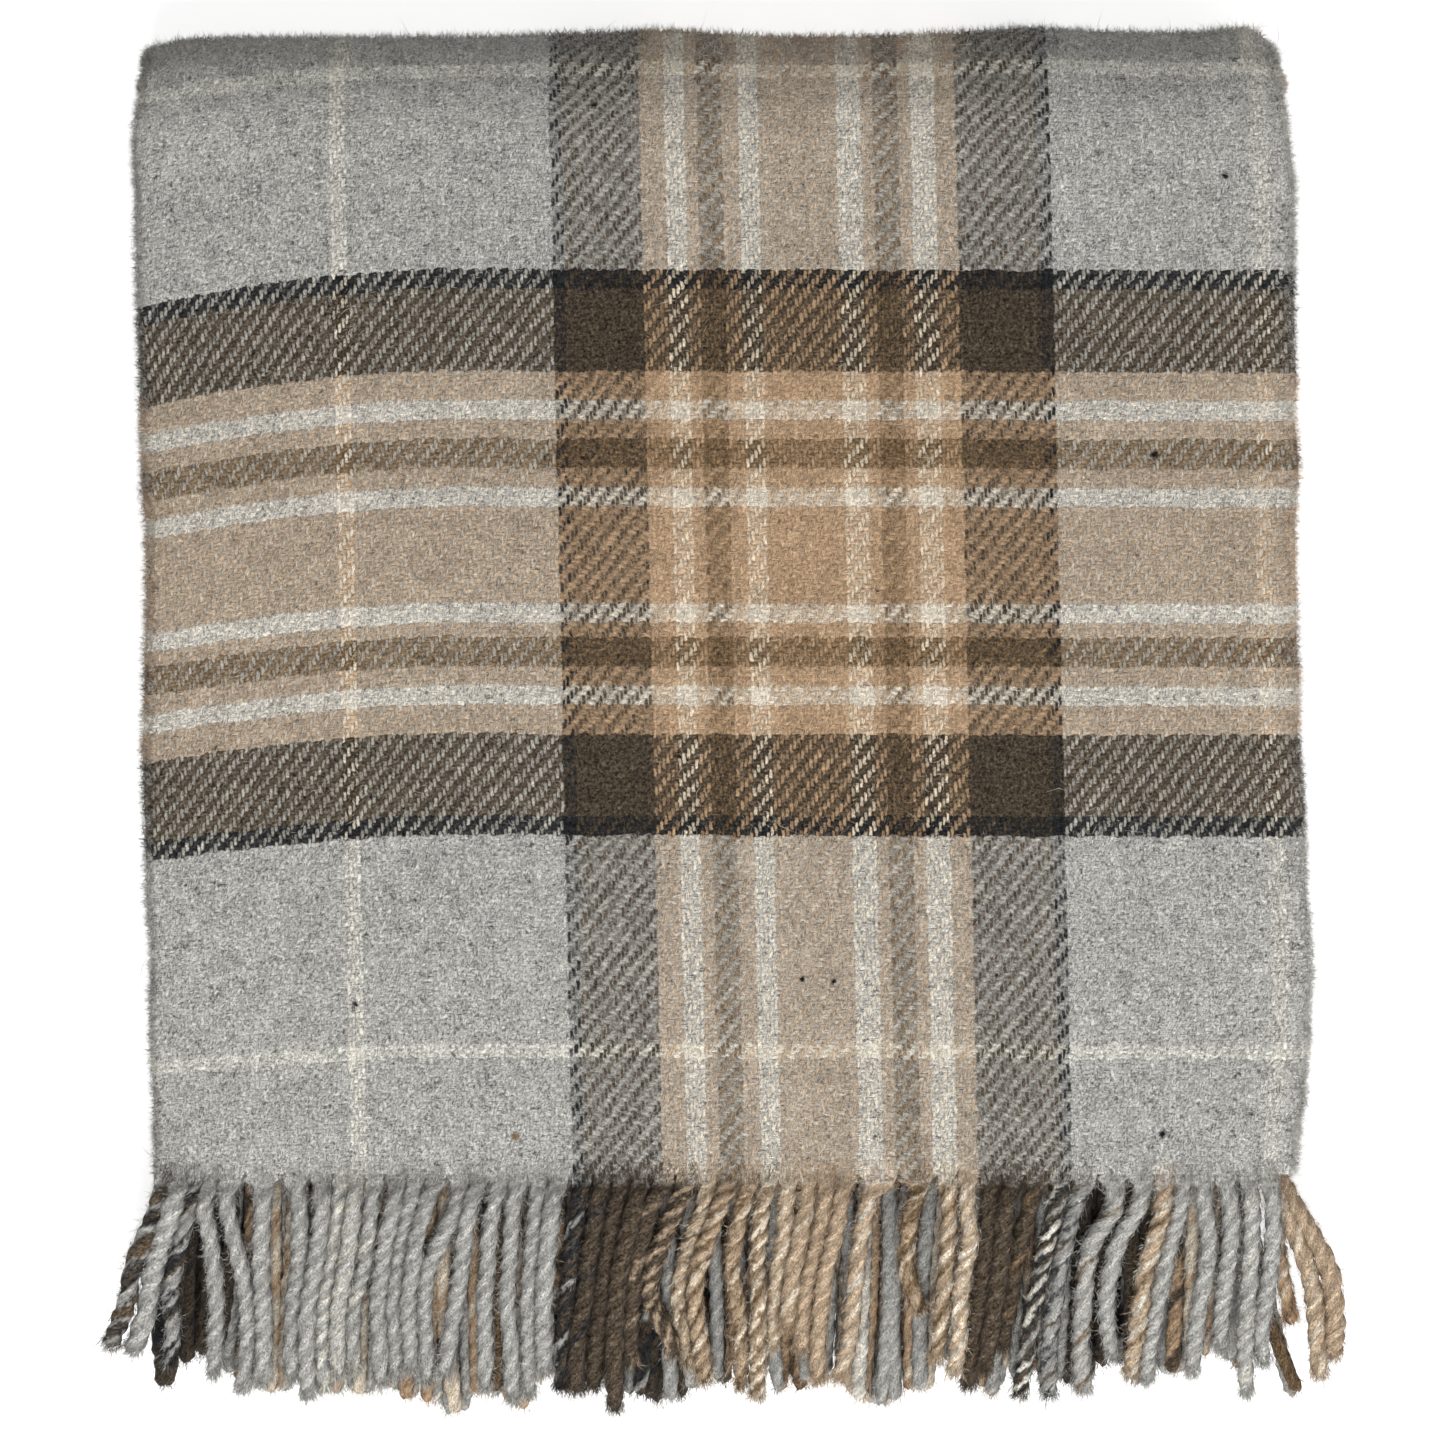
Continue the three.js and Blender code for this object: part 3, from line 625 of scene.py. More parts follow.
def two_strands(name, one, two):
    """Two surfaces as one piece, side by side in the baked map."""
    n = len(one[0])
    faces = [tuple(f) for f in one[1]] + [tuple(q + n for q in f) for f in two[1]]
    bake = [(0.49 * x, y) for x, y in one[3][1]] + [(0.51 + 0.49 * x, y) for x, y in two[3][1]]
    return make_mesh(name, np.vstack([one[0], two[0]]), faces,
                     [("Strand", list(one[3][0]) + list(two[3][0])), ("OFBake", bake), ("Weave", list(one[3][2]) + list(two[3][2]))], np.vstack([one[2], two[2]]))


def loose_strand(course, seed, full, yarns):
    """A further loose strand; course is X, Y, Z rows."""
    course = np.asarray(course, float)
    t = np.linspace(0, 1, len(course))
    n = 44
    tt = np.linspace(0, 1, n)
    line = lie(np.stack([spline(t, course[:, c], tt) for c in range(3)], 1))
    radius, flat = np.full(n, full), np.full(n, 0.9)
    v, f, c, uvs, turn, radius = cord_surface(line, radius, flat, [np.array(q) for q in yarns], 16, 20.0, 1.0, seed)
    if signed(v, f) < 0:
        f, *uvs = flip(f, *uvs)
    return [v, f, c, uvs], (line, radius, yarns, turn, flat)


def flip(faces, *uvs):
    out = [tuple(reversed(f)) for f in faces]
    new = []
    for uv in uvs:
        k, done = 0, []
        for f in faces:
            done += list(reversed(uv[k:k + len(f)]))
            k += len(f)
        new.append(done)
    return [out] + new


# The line that the lowest tips make: X, and how far towards the viewer they reach.
LOW_X = np.array([-215.4, -212, -206.4, -205, -196, -188, -178, -168, -156, -144, -143.4, -138.9, -137, -134.4, -130, -120.9, -119, -116.4, -111.9, -108, -107.4, -103, -102.9, -99.5, -98.4, -95, -86, -84.9, -80, -75.9, -74, -70, -66.9, -62.4, -58, -46, -39, -35.4, -31, -30.9, -23, -15.5, -12.9, -9.5, -8.4, -4, -3.9, 0, 0.6, 8, 9.6, 16, 18.6, 21, 23.1, 27, 34, 41.1, 43, 48, 50.1, 53.5, 54.6, 59, 68, 72.6, 73, 79, 84, 92, 98, 99.6, 103, 104.1, 106, 110.5, 113.1, 114, 119, 123, 129, 136, 140.1, 142, 146, 149.1, 152, 157, 162.6, 163, 167.1, 168.5, 171.6, 176, 181, 187, 191, 194.1, 197, 203, 211, 216.6, 221.1])
LOW_Y = np.array([-255.3, -252.2, -242.7, -243.8, -237.0, -246.0, -251.0, -253.0, -248.5, -253.9, -254.3, -254.3, -254.7, -254.3, -248.0, -254.5, -254.8, -255.4, -257.5, -257.5, -257.6, -261.1, -261.2, -261.5, -261.5, -253.0, -252.0, -255.3, -256.0, -261.5, -261.5, -247.0, -249.9, -242.3, -246.0, -250.0, -252.0, -255.7, -253.0, -253.1, -257.8, -256.3, -250.2, -251.7, -251.1, -245.5, -245.6, -252.0, -251.5, -237.6, -237.5, -248.1, -253.3, -253.5, -253.7, -252.5, -251.5, -244.7, -240.8, -253.0, -255.6, -256.4, -257.2, -258.7, -253.5, -251.3, -250.5, -253.5, -240.5, -246.5, -250.6, -253.3, -258.6, -254.1, -241.6, -250.6, -241.2, -239.4, -252.5, -247.5, -250.5, -252.0, -249.4, -243.1, -234.0, -237.6, -243.1, -247.0, -250.4, -250.4, -248.1, -246.2, -245.7, -243.0, -236.0, -233.5, -241.5, -240.9, -249.7, -237.0, -240.0, -243.2, -244.8])


# Cords of the lower rows that stray out past the rest: how far sideways, and where the tip lies.
STRAYS = {(2, 49): (19.0, -254.0), (1, 49): (24.0, -252.0), (1, 1): (-8.0, -249.8), (1, 0): (-2.5, -240.0), (1, 3): (-10.0, -241.5), (1, 2): (-4.0, -238.0)}


def comb_row(row):
    """The fringe of one lower layer: fifty twisted cords, joined into one piece."""
    V, F, C, S, B = [], [], [], [], []
    base = 0
    lines = []
    for k in range(50):
        r = np.random.default_rng(5000 + row * 100 + k)
        x0 = COMB_START[row - 1] + 3.45 + 8.25 * k
        wave = math.sin(k * 2.4 + row * 1.7) * 0.6 + math.sin(k * 0.83 + row) * 0.4
        sway = 2.2 * math.sin(k * 0.45 + row * 2.1) + r.normal(0, 1.6) - 1.5
        tip = max(float(np.interp(x0 + sway, LOW_X, LOW_Y)) + (0.6 if row < 3 else 2.0) * r.gamma(1.3, 1.2) + 0.3 * wave, -261.7)
        bend = r.normal(0, 1.3)
        if (row, k) in STRAYS:
            sway, tip = STRAYS[row, k]

        def x_of(y, x0=x0, sway=sway, bend=bend):
            s = np.clip((ROOT_Y - y) / 85.0, 0, 1.1)
            return x0 + sway * s**1.4 + bend * np.sin(s * 3.1)

        def level(y, row=row):
            s = np.clip((ROOT_Y - y) / REF_LEN, 0, 1)
            return row_z(row, s)

        line = lie(lean_line(x_of, -168.6, tip, level, STEP * 1.7))
        d = -168.6 - line[:, 1]
        grow = np.clip((d - 1.0) / 12.0, 0, 1)
        radius = np.full(len(line), 3.25 * r.uniform(0.9, 1.08))
        flat = 0.33 + 0.5 * grow
        yarns = yarn_list(x0, ROOT_Y, row, 6, seed=row * 77 + k)
        # painted shade: lower-row cords get darker painted sides and a dimmer painted top than the top row
        v, f, c, uvs, turn, radius = cord_surface(line, radius, flat, yarns, 12, 22.0 * r.uniform(0.9, 1.12), r.uniform(0, TAU), 8000 + row * 60 + k, painted_shading=(0.42, 0.50))
        # painted shade: lower-row cords are painted darker towards their roots, down to 0.62 of their colour
        c[:, :3] *= np.clip(0.62 + 0.38 * (ROOT_Y - v[:, 1:2]) / 55.0, 0.62, 1.0)
        fu, bu = uvs[0], [((k + 0.04 + 0.92 * a) / 50.0, 0.004 + 0.992 * b) for a, b in uvs[1]]
        if signed(v, f) < 0:
            f, fu, bu = flip(f, fu, bu)
        V.append(v)
        C.append(c)
        F += [tuple(q + base for q in face) for face in f]
        S += fu
        B += bu
        base += len(v)
        lines.append((line, radius, yarns, turn, flat))
    ob = make_mesh(f"fringe_layer_{row + 1}", np.vstack(V), F, [("Strand", S), ("OFBake", B)], np.vstack(C))
    return ob, lines


# ---------------------------------------------------------------- fibres that stand out of the wool
def fibres(name, start, out, length, colour, seed, width=0.16, curl=0.5):
    """Fine bent fibres, each one narrow four-cornered ribbon. start, out (unit) and colour are arrays."""
    r = np.random.default_rng(seed)
    n = len(start)
    side = np.cross(out, r.standard_normal((n, 3)))
    side /= np.linalg.norm(side, axis=1, keepdims=True) + 1e-9
    bend = np.cross(out, side)
    V = np.zeros((n, 4, 3))
    length = length[:, None]
    bow = bend * (curl * r.uniform(-1, 1, (n, 1))) * length + side * (0.5 * curl * r.uniform(-1, 1, (n, 1))) * length
    half = start + out * length * 0.45
    V[:, 0] = start
    V[:, 1] = half - side * width / 2 - bow * 0.25
    V[:, 2] = start + out * length + bow * 0.5
    V[:, 3] = half + side * width / 2 - bow * 0.25
    F = (np.arange(n) * 4)[:, None] + np.array([[0, 1, 2, 3]])
    return make_mesh(name, V.reshape(-1, 3), F.tolist(), (), np.repeat(colour, 4, axis=0), smooth=False)


def cord_fibres(lines, per, seed, spread=1.0):
    """Start points, directions, lengths and colours of the fibres on a set of cords: most lie along the twist, some stand off, some fray from the tip."""
    r = np.random.default_rng(seed)
    P, D, L, C = [], [], [], []
    for line, radius, yarns, turn, flat in lines:
        n = per
        k = r.integers(1, len(line) - 1, n)
        tip = r.random(n) < 0.14
        k = np.where(tip, len(line) - 2 - r.integers(0, 5, n), k)
        th = r.uniform(-0.12 * math.pi, 1.12 * math.pi, n)
        tangent = np.gradient(line, axis=0)
        tangent /= np.linalg.norm(tangent, axis=1, keepdims=True)
        side = np.cross(tangent, [0, 0, 1.0])
        side /= np.linalg.norm(side, axis=1, keepdims=True)
        up = np.cross(side, tangent)
        o = np.cos(th)[:, None] * side[k] + (np.sin(th) * flat[k])[:, None] * up[k]
        P.append(line[k] + o * (radius[k] * 0.93)[:, None])
        o = o / np.linalg.norm(o, axis=1, keepdims=True)
        round_ = np.cross(tangent[k], o)
        round_ *= np.sign(np.einsum("ij,ij->i", round_, -np.sin(th)[:, None] * side[k] + np.cos(th)[:, None] * up[k]))[:, None]
        lay = (r.random(n) < 0.5)[:, None]
        d = np.where(lay, o * r.uniform(0.04, 0.30, (n, 1)) + tangent[k] * 1.0 - round_ * r.uniform(0.3, 0.95, (n, 1)),
                     o * r.uniform(0.35, 1.0, (n, 1)) + tangent[k] * r.uniform(-0.5, 1.3, (n, 1)) - round_ * 0.4 + 0.25 * r.standard_normal((n, 3)))
        d[tip] = tangent[k[tip]] * 1.3 + 0.5 * o[tip] + 0.4 * r.standard_normal((int(tip.sum()), 3))
        D.append(d / np.linalg.norm(d, axis=1, keepdims=True))
        L.append(np.where(lay[:, 0], r.gamma(4.0, 0.60, n), r.gamma(3.0, 0.62, n)) * spread * np.where(tip, 1.35, 1.0))
        psi = (th - turn[k]) % TAU
        own = np.asarray(yarns)[np.floor(psi / TAU * len(yarns)).astype(int) % len(yarns)]
        C.append(own * np.where(r.random(n) < 0.4, r.uniform(0.4, 0.8, n), r.uniform(0.9, 1.35, n))[:, None] + 0.03 * (r.random((n, 1)) < 0.4) * [1, 0.9, 0.75])
    return np.vstack(P), np.vstack(D), np.concatenate(L), np.clip(np.vstack(C), 0, 0.9)


def mesh_points(ob):
    n = len(ob.data.vertices)
    p, no = np.zeros(n * 3, np.float32), np.zeros(n * 3, np.float32)
    ob.data.vertices.foreach_get("co", p)
    ob.data.vertices.foreach_get("normal", no)
    return p.reshape(-1, 3).astype(float) * 1000 - SHIFT, no.reshape(-1, 3).astype(float)


def weft_colour(v):
    k = (math.floor(v / WEFT_YARN) + 0.5) * WEFT_YARN - WEFT_PIVOT
    t = abs((k + WEFT_HALF) % (2 * WEFT_HALF) - WEFT_HALF) / PX
    colour = CAMEL
    for start, c in WEFT_SETT:
        if t >= start:
            colour = c
    return np.array(colour)


# ---------------------------------------------------------------- materials
class Shader:
    def __init__(self, name):
        self.mat = bpy.data.materials.new(name)
        self.mat.use_nodes = True
        self.nt = self.mat.node_tree
        self.bsdf = self.nt.nodes["Principled BSDF"]

    def node(self, kind, **settings):
        n = self.nt.nodes.new(kind)
        for k, v in settings.items():
            setattr(n, k, v)
        return n

    def put(self, socket, value):
        if isinstance(value, bpy.types.NodeSocket):
            self.nt.links.new(value, socket)
        elif isinstance(value, (tuple, list)) and socket.type == "RGBA":
            socket.default_value = tuple(value[:3]) + (1.0,)
        else:
            socket.default_value = value

    def math(self, op, a, b=None, c=None, clamp=False):
        n = self.node("ShaderNodeMath", operation=op, use_clamp=clamp)
        self.put(n.inputs[0], a)
        if b is not None:
            self.put(n.inputs[1], b)
        if c is not None:
            self.put(n.inputs[2], c)
        return n.outputs[0]

    def mix(self, fac, a, b, blend="MIX"):
        n = self.node("ShaderNodeMix", data_type="RGBA", blend_type=blend)
        self.put(n.inputs[0], fac)
        self.put(n.inputs[6], a)
        self.put(n.inputs[7], b)
        return n.outputs[2]

    def mixf(self, fac, a, b):
        n = self.node("ShaderNodeMix", data_type="FLOAT")
        self.put(n.inputs[0], fac)
        self.put(n.inputs[2], a)
        self.put(n.inputs[3], b)
        return n.outputs[0]

    def ramp(self, fac, stops, mode="CONSTANT"):
        n = self.node("ShaderNodeValToRGB")
        cr = n.color_ramp
        cr.interpolation = mode
        while len(cr.elements) > 1:
            cr.elements.remove(cr.elements[-1])
        cr.elements[0].position = stops[0][0]
        cr.elements[0].color = tuple(stops[0][1]) + (1.0,)
        for pos, col in stops[1:]:
            e = cr.elements.new(pos)
            e.color = tuple(col) + (1.0,)
        self.put(n.inputs[0], fac)
        return n.outputs[0]

    def noise(self, vector, scale, detail=2.0, rough=0.5, colour=False):
        n = self.node("ShaderNodeTexNoise", noise_dimensions="3D")
        self.put(n.inputs["Vector"], vector)
        n.inputs["Scale"].default_value = scale
        n.inputs["Detail"].default_value = detail
        n.inputs["Roughness"].default_value = rough
        return n.outputs["Color" if colour else "Fac"]

    def xyz(self, x, y, z=0.0):
        n = self.node("ShaderNodeCombineXYZ")
        self.put(n.inputs[0], x)
        self.put(n.inputs[1], y)
        self.put(n.inputs[2], z)
        return n.outputs[0]

    def split(self, v):
        n = self.node("ShaderNodeSeparateXYZ")
        self.put(n.inputs[0], v)
        return n.outputs

    def uv(self, name):
        return self.node("ShaderNodeUVMap", uv_map=name).outputs[0]

    def scaled(self, value, low, high):
        """0..1 to low..high."""
        return self.math("MULTIPLY_ADD", value, high - low, low)


def woven(s):
    """The check in its twill, from the flat cloth's own coordinates: colour, height of the floats, nap, and the fibre field."""
    m = s.math
    uvx = s.split(s.uv("Weave"))
    U0, V0 = m("MULTIPLY", uvx[0], 1000.0), m("MULTIPLY", uvx[1], 1000.0)
    P0 = s.xyz(U0, V0)
    # the yarns wander a little
    wander = s.split(s.noise(P0, 0.11, 3.0, 0.6, colour=True))
    U = m("ADD", U0, s.scaled(wander[0], -1.25, 1.25))
    V = m("ADD", V0, s.scaled(wander[1], -1.35, 1.35))
    fine = s.split(s.noise(P0, 0.9, 2.0, 0.6, colour=True))
    U = m("ADD", U, s.scaled(fine[0], -0.45, 0.45))
    V = m("ADD", V, s.scaled(fine[1], -0.66, 0.66))
    ripple = m("SINE", m("MULTIPLY", m("SUBTRACT", m("DIVIDE", U, WARP_YARN), m("DIVIDE", V, WEFT_YARN)), TAU / 4))
    V = m("MULTIPLY_ADD", ripple, 0.20, V)
    step_w = s.node("ShaderNodeTexWhiteNoise", noise_dimensions="1D")
    s.put(step_w.inputs["W"], m("FLOOR", m("DIVIDE", U, WARP_YARN)))
    step_p = s.node("ShaderNodeTexWhiteNoise", noise_dimensions="1D")
    s.put(step_p.inputs["W"], m("ADD", m("FLOOR", m("DIVIDE", V, WEFT_YARN)), 911.5))
    V = m("ADD", V, s.scaled(step_w.outputs[0], -0.30, 0.30))
    U = m("ADD", U, s.scaled(step_p.outputs[0], -0.12, 0.12))
    wu, pv = m("DIVIDE", U, WARP_YARN), m("DIVIDE", V, WEFT_YARN)
    iw, ip = m("FLOOR", wu), m("FLOOR", pv)
    fu, fv = m("SUBTRACT", wu, iw), m("SUBTRACT", pv, ip)
    cell = m("FLOORED_MODULO", m("SUBTRACT", iw, ip), 4.0)
    warp_up = m("LESS_THAN", cell, 1.5)

    def hump(t):                     # 1 at t = 1, 0 at t = 0 and 2
        d = m("SUBTRACT", t, 1.0)
        return m("SUBTRACT", 1.0, m("MULTIPLY", d, d), clamp=True)

    def round_over(f):               # a yarn's round back
        d = m("MULTIPLY_ADD", f, 2.0, -1.0)
        return m("SQRT", m("SUBTRACT", 1.0, m("MULTIPLY", d, d), clamp=True))

    t_w = m("SUBTRACT", m("ADD", fv, 1.0), cell)
    t_p = m("ADD", m("SUBTRACT", cell, 2.0), fu)
    h_w = m("MULTIPLY", round_over(fu), s.scaled(hump(t_w), 0.30, 1.0))
    h_p = m("MULTIPLY", round_over(fv), s.scaled(hump(t_p), 0.30, 1.0))
    h = s.mixf(warp_up, h_p, h_w)

    # stripe colours, one yarn at a time
    def stripe(index, yarn, pivot, half, sett):
        k = m("SUBTRACT", m("MULTIPLY", m("ADD", index, 0.5), yarn), pivot)
        t = m("DIVIDE", m("PINGPONG", k, half), half)
        return s.ramp(t, [(a * PX / half, c) for a, c in sett])

    cw = stripe(iw, WARP_YARN, WARP_PIVOT, WARP_HALF, WARP_SETT)
    cp = stripe(ip, WEFT_YARN, WEFT_PIVOT, WEFT_HALF, WEFT_SETT)
    # the right-hand cream line barely shows
    faint = m("MULTIPLY", m("GREATER_THAN", m("SUBTRACT", m("MULTIPLY", iw, WARP_YARN), WARP_PIVOT), 440 * PX), 0.42)
    cw = s.mix(faint, cw, tuple(c * 1.04 for c in GREY))
    def grey_of(c):
        n = s.node("ShaderNodeRGBToBW")
        s.put(n.inputs[0], c)
        return n.outputs[0]
    light_w, light_p = grey_of(cw), grey_of(cp)
    contrast = m("ABSOLUTE", m("SUBTRACT", light_w, light_p))
    contrast = m("MAXIMUM", contrast, m("MULTIPLY", m("DIVIDE", contrast, m("ADD", light_w, light_p)), 0.56))
    # the picks cover more than the ends, and nap carries some of each yarn's fibre over the other
    lint = s.noise(P0, 1.7, 2.0, 0.7)
    turn = m("FLOOR", m("DIVIDE", m("SUBTRACT", iw, ip), 4.0))
    each = s.node("ShaderNodeTexWhiteNoise", noise_dimensions="3D")
    s.put(each.inputs["Vector"], s.xyz(s.mixf(warp_up, ip, iw), turn, warp_up))
    float_rand = s.split(each.outputs["Color"])
    width = m("MULTIPLY", m("SUBTRACT", 0.47, m("ABSOLUTE", m("SUBTRACT", fu, 0.5))), 5.0, clamp=True)
    ends_ = m("MULTIPLY", hump(t_w), 2.0, clamp=True)
    cover = m("MULTIPLY", m("MULTIPLY", warp_up, m("MULTIPLY", width, ends_)), s.scaled(float_rand[0], 0.55, 1.08))
    gap = m("SUBTRACT", light_p, light_w)
    cover = m("ADD", cover, m("MULTIPLY", m("MULTIPLY", gap, m("ABSOLUTE", gap)), 0.55))
    cover = m("ADD", m("ADD", cover, 0.05), s.scaled(lint, -0.22, 0.22), clamp=True)
    yarns = s.mix(cover, cp, cw)
    felt = s.node("ShaderNodeGamma")
    s.put(felt.inputs[0], s.mix(1.0, cp, cw, "MULTIPLY"))
    felt.inputs[1].default_value = 0.5
    fuzz = s.scaled(s.noise(P0, 0.34, 4.0, 0.7), -0.15, 1.05)
    dark = m("MULTIPLY_ADD", m("MINIMUM", light_w, light_p), -4.0, 1.0, clamp=True)
    soft = m("SUBTRACT", 1.0, dark)
    fuzz = m("MAXIMUM", m("ADD", fuzz, m("MULTIPLY_ADD", soft, 0.13, m("MULTIPLY_ADD", contrast, -1.10, 0.30))), m("MAXIMUM", m("MULTIPLY_ADD", contrast, -1.4, 0.60), 0.04))
    fuzz = m("MINIMUM", fuzz, 0.92)
    base = s.mix(fuzz, yarns, felt.outputs[0])
    warm = m("MULTIPLY", m("MULTIPLY", contrast, 2.8, clamp=True), m("MULTIPLY", dark, m("MULTIPLY_ADD", m("GREATER_THAN", light_w, light_p), 0.65, 0.35)))
    base = s.mix(warm, base, s.mix(1.0, base, (1.0, 0.965, 0.90), "MULTIPLY"))
    # light and dark fibres, lying every way
    def streak(ax, ay, scale_a, scale_b, seed):
        along = m("ADD", m("MULTIPLY", U0, ax), m("MULTIPLY", V0, ay))
        across_ = m("SUBTRACT", m("MULTIPLY", V0, ax), m("MULTIPLY", U0, ay))
        return s.noise(s.xyz(m("MULTIPLY", along, scale_a), m("MULTIPLY", across_, scale_b), seed), 1.0, 2.0, 0.65)

    f1 = streak(1.0, 0.0, 0.55, 2.3, 3.0)
    f2 = streak(0.26, 0.966, 0.55, 2.3, 11.0)
    f3 = streak(0.64, 0.77, 0.55, 2.3, 19.0)
    f4 = streak(-0.71, 0.70, 0.55, 2.3, 27.0)
    light = m("MAXIMUM", m("MAXIMUM", f1, f2), m("MAXIMUM", f3, f4))
    dim = m("MINIMUM", m("MINIMUM", f1, f2), m("MINIMUM", f3, f4))
    fibre = m("ADD", m("MULTIPLY_ADD", light, 2.0, -2.0 * 0.615), m("MULTIPLY_ADD", dim, 4.4, -4.4 * 0.385))
    fibre = m("MULTIPLY_ADD", m("SUBTRACT", s.mixf(warp_up, f1, f2), 0.5), m("MULTIPLY", soft, 1.2), fibre)
    blot = m("ADD", s.scaled(s.noise(P0, 0.62, 3.0, 0.65), -0.75, 0.75), s.scaled(s.noise(s.xyz(V0, U0, 9.0), 0.16, 2.0, 0.5), -0.30, 0.30))
    smudge = m("MULTIPLY", m("SUBTRACT", s.noise(s.xyz(U0, V0, 41.0), 0.23, 4.0, 0.75), 0.575), 7.5, clamp=True)
    blot = m("MULTIPLY_ADD", smudge, -0.70, blot)
    hue = s.split(base)
    plain = m("MAXIMUM", m("MULTIPLY", m("SUBTRACT", hue[0], hue[2]), 5.0), m("MULTIPLY_ADD", grey_of(base), 4.0, -2.1), clamp=True)
    heather = m("MAXIMUM", m("MULTIPLY_ADD", m("ADD", fibre, blot), m("MULTIPLY_ADD", m("MULTIPLY_ADD", grey_of(base), 4.0, -2.1, clamp=True), -0.22, m("MULTIPLY_ADD", plain, -0.62, 1.22)), 1.0), 0.18)
    heather = m("MULTIPLY_ADD", m("SUBTRACT", s.mixf(warp_up, f1, f2), 0.5), m("MULTIPLY", plain, 1.1), heather)
    yarn_w = s.node("ShaderNodeTexWhiteNoise", noise_dimensions="1D")
    s.put(yarn_w.inputs["W"], iw)
    yarn_p = s.node("ShaderNodeTexWhiteNoise", noise_dimensions="1D")
    s.put(yarn_p.inputs["W"], m("ADD", ip, 513.5))
    per_yarn = s.scaled(s.mixf(warp_up, yarn_p.outputs[0], yarn_w.outputs[0]), 0.95, 1.05)
    shade = m("MULTIPLY", s.mixf(m("MULTIPLY", fuzz, 0.8), s.scaled(h, 0.58, 1.36), 1.0), s.scaled(float_rand[1], 0.86, 1.14))
    depth = m("MULTIPLY", m("SUBTRACT", 0.30, grey_of(base)), 4.0, clamp=True)
    grain = m("ADD", s.scaled(s.noise(s.xyz(U0, V0, 77.0), 1.05, 2.0, 0.7), -1.9, 1.9), s.scaled(s.noise(s.xyz(V0, U0, 88.0), 0.66, 1.0, 0.6), -1.5, 1.5))
    value = m("MULTIPLY", heather, m("MULTIPLY", shade, per_yarn))
    value = m("MULTIPLY", value, m("MAXIMUM", m("MULTIPLY_ADD", grain, m("MULTIPLY_ADD", depth, 0.78, 0.10), 1.0), 0.22))
    tint = s.node("ShaderNodeCombineColor")
    for k in range(3):
        s.put(tint.inputs[k], value)
    colour = s.mix(1.0, base, tint.outputs[0], "MULTIPLY")
    # single pale fibres over the dark wool
    pale = s.mix(1.0, s.mix(1.0, base, (1.7, 1.7, 1.7), "MULTIPLY"), (0.035, 0.032, 0.028), "ADD")
    glint = m("MULTIPLY", m("SUBTRACT", m("MAXIMUM", f2, f3), 0.60), 3.6, clamp=True)
    colour = s.mix(m("MULTIPLY", glint, 0.62), colour, pale)
    # neps: small dark tufts caught in the yarn
    vor = s.node("ShaderNodeTexVoronoi", voronoi_dimensions="2D")
    s.put(vor.inputs["Vector"], s.xyz(m("ADD", U0, s.scaled(fine[1], -1.2, 1.2)), m("ADD", V0, s.scaled(fine[0], -1.2, 1.2))))
    vor.inputs["Scale"].default_value = 0.055
    pick = s.split(vor.outputs["Color"])
    size = s.scaled(pick[1], 0.008, 0.042)
    nep = m("MULTIPLY", m("LESS_THAN", vor.outputs["Distance"], size), m("GREATER_THAN", pick[0], 0.60))
    colour = s.mix(m("MULTIPLY", nep, s.scaled(lint, 0.0, 1.2), clamp=True), colour, (0.05, 0.047, 0.05))
    nap = s.noise(P0, 2.2, 3.0, 0.65)
    relief = m("ADD", m("MULTIPLY", h, 0.55), m("MULTIPLY", m("ADD", light, nap), 0.8))
    return colour, relief, nap


def wool_surface(s):
    s.bsdf.inputs["Specular IOR Level"].default_value = 0.12
    s.bsdf.inputs["Sheen Weight"].default_value = 0.06
    s.bsdf.inputs["Sheen Roughness"].default_value = 0.55


def cloth_material():
    s = Shader("wool_twill_check")
    colour, relief, nap = woven(s)
    s.put(s.bsdf.inputs["Base Color"], colour)
    bump = s.node("ShaderNodeBump")
    bump.inputs["Strength"].default_value = 0.75
    bump.inputs["Distance"].default_value = 0.0007
    s.put(bump.inputs["Height"], relief)
    s.put(s.bsdf.inputs["Normal"], bump.outputs[0])
    s.put(s.bsdf.inputs["Roughness"], s.scaled(nap, 0.86, 1.0))
    wool_surface(s)
    return s.mat


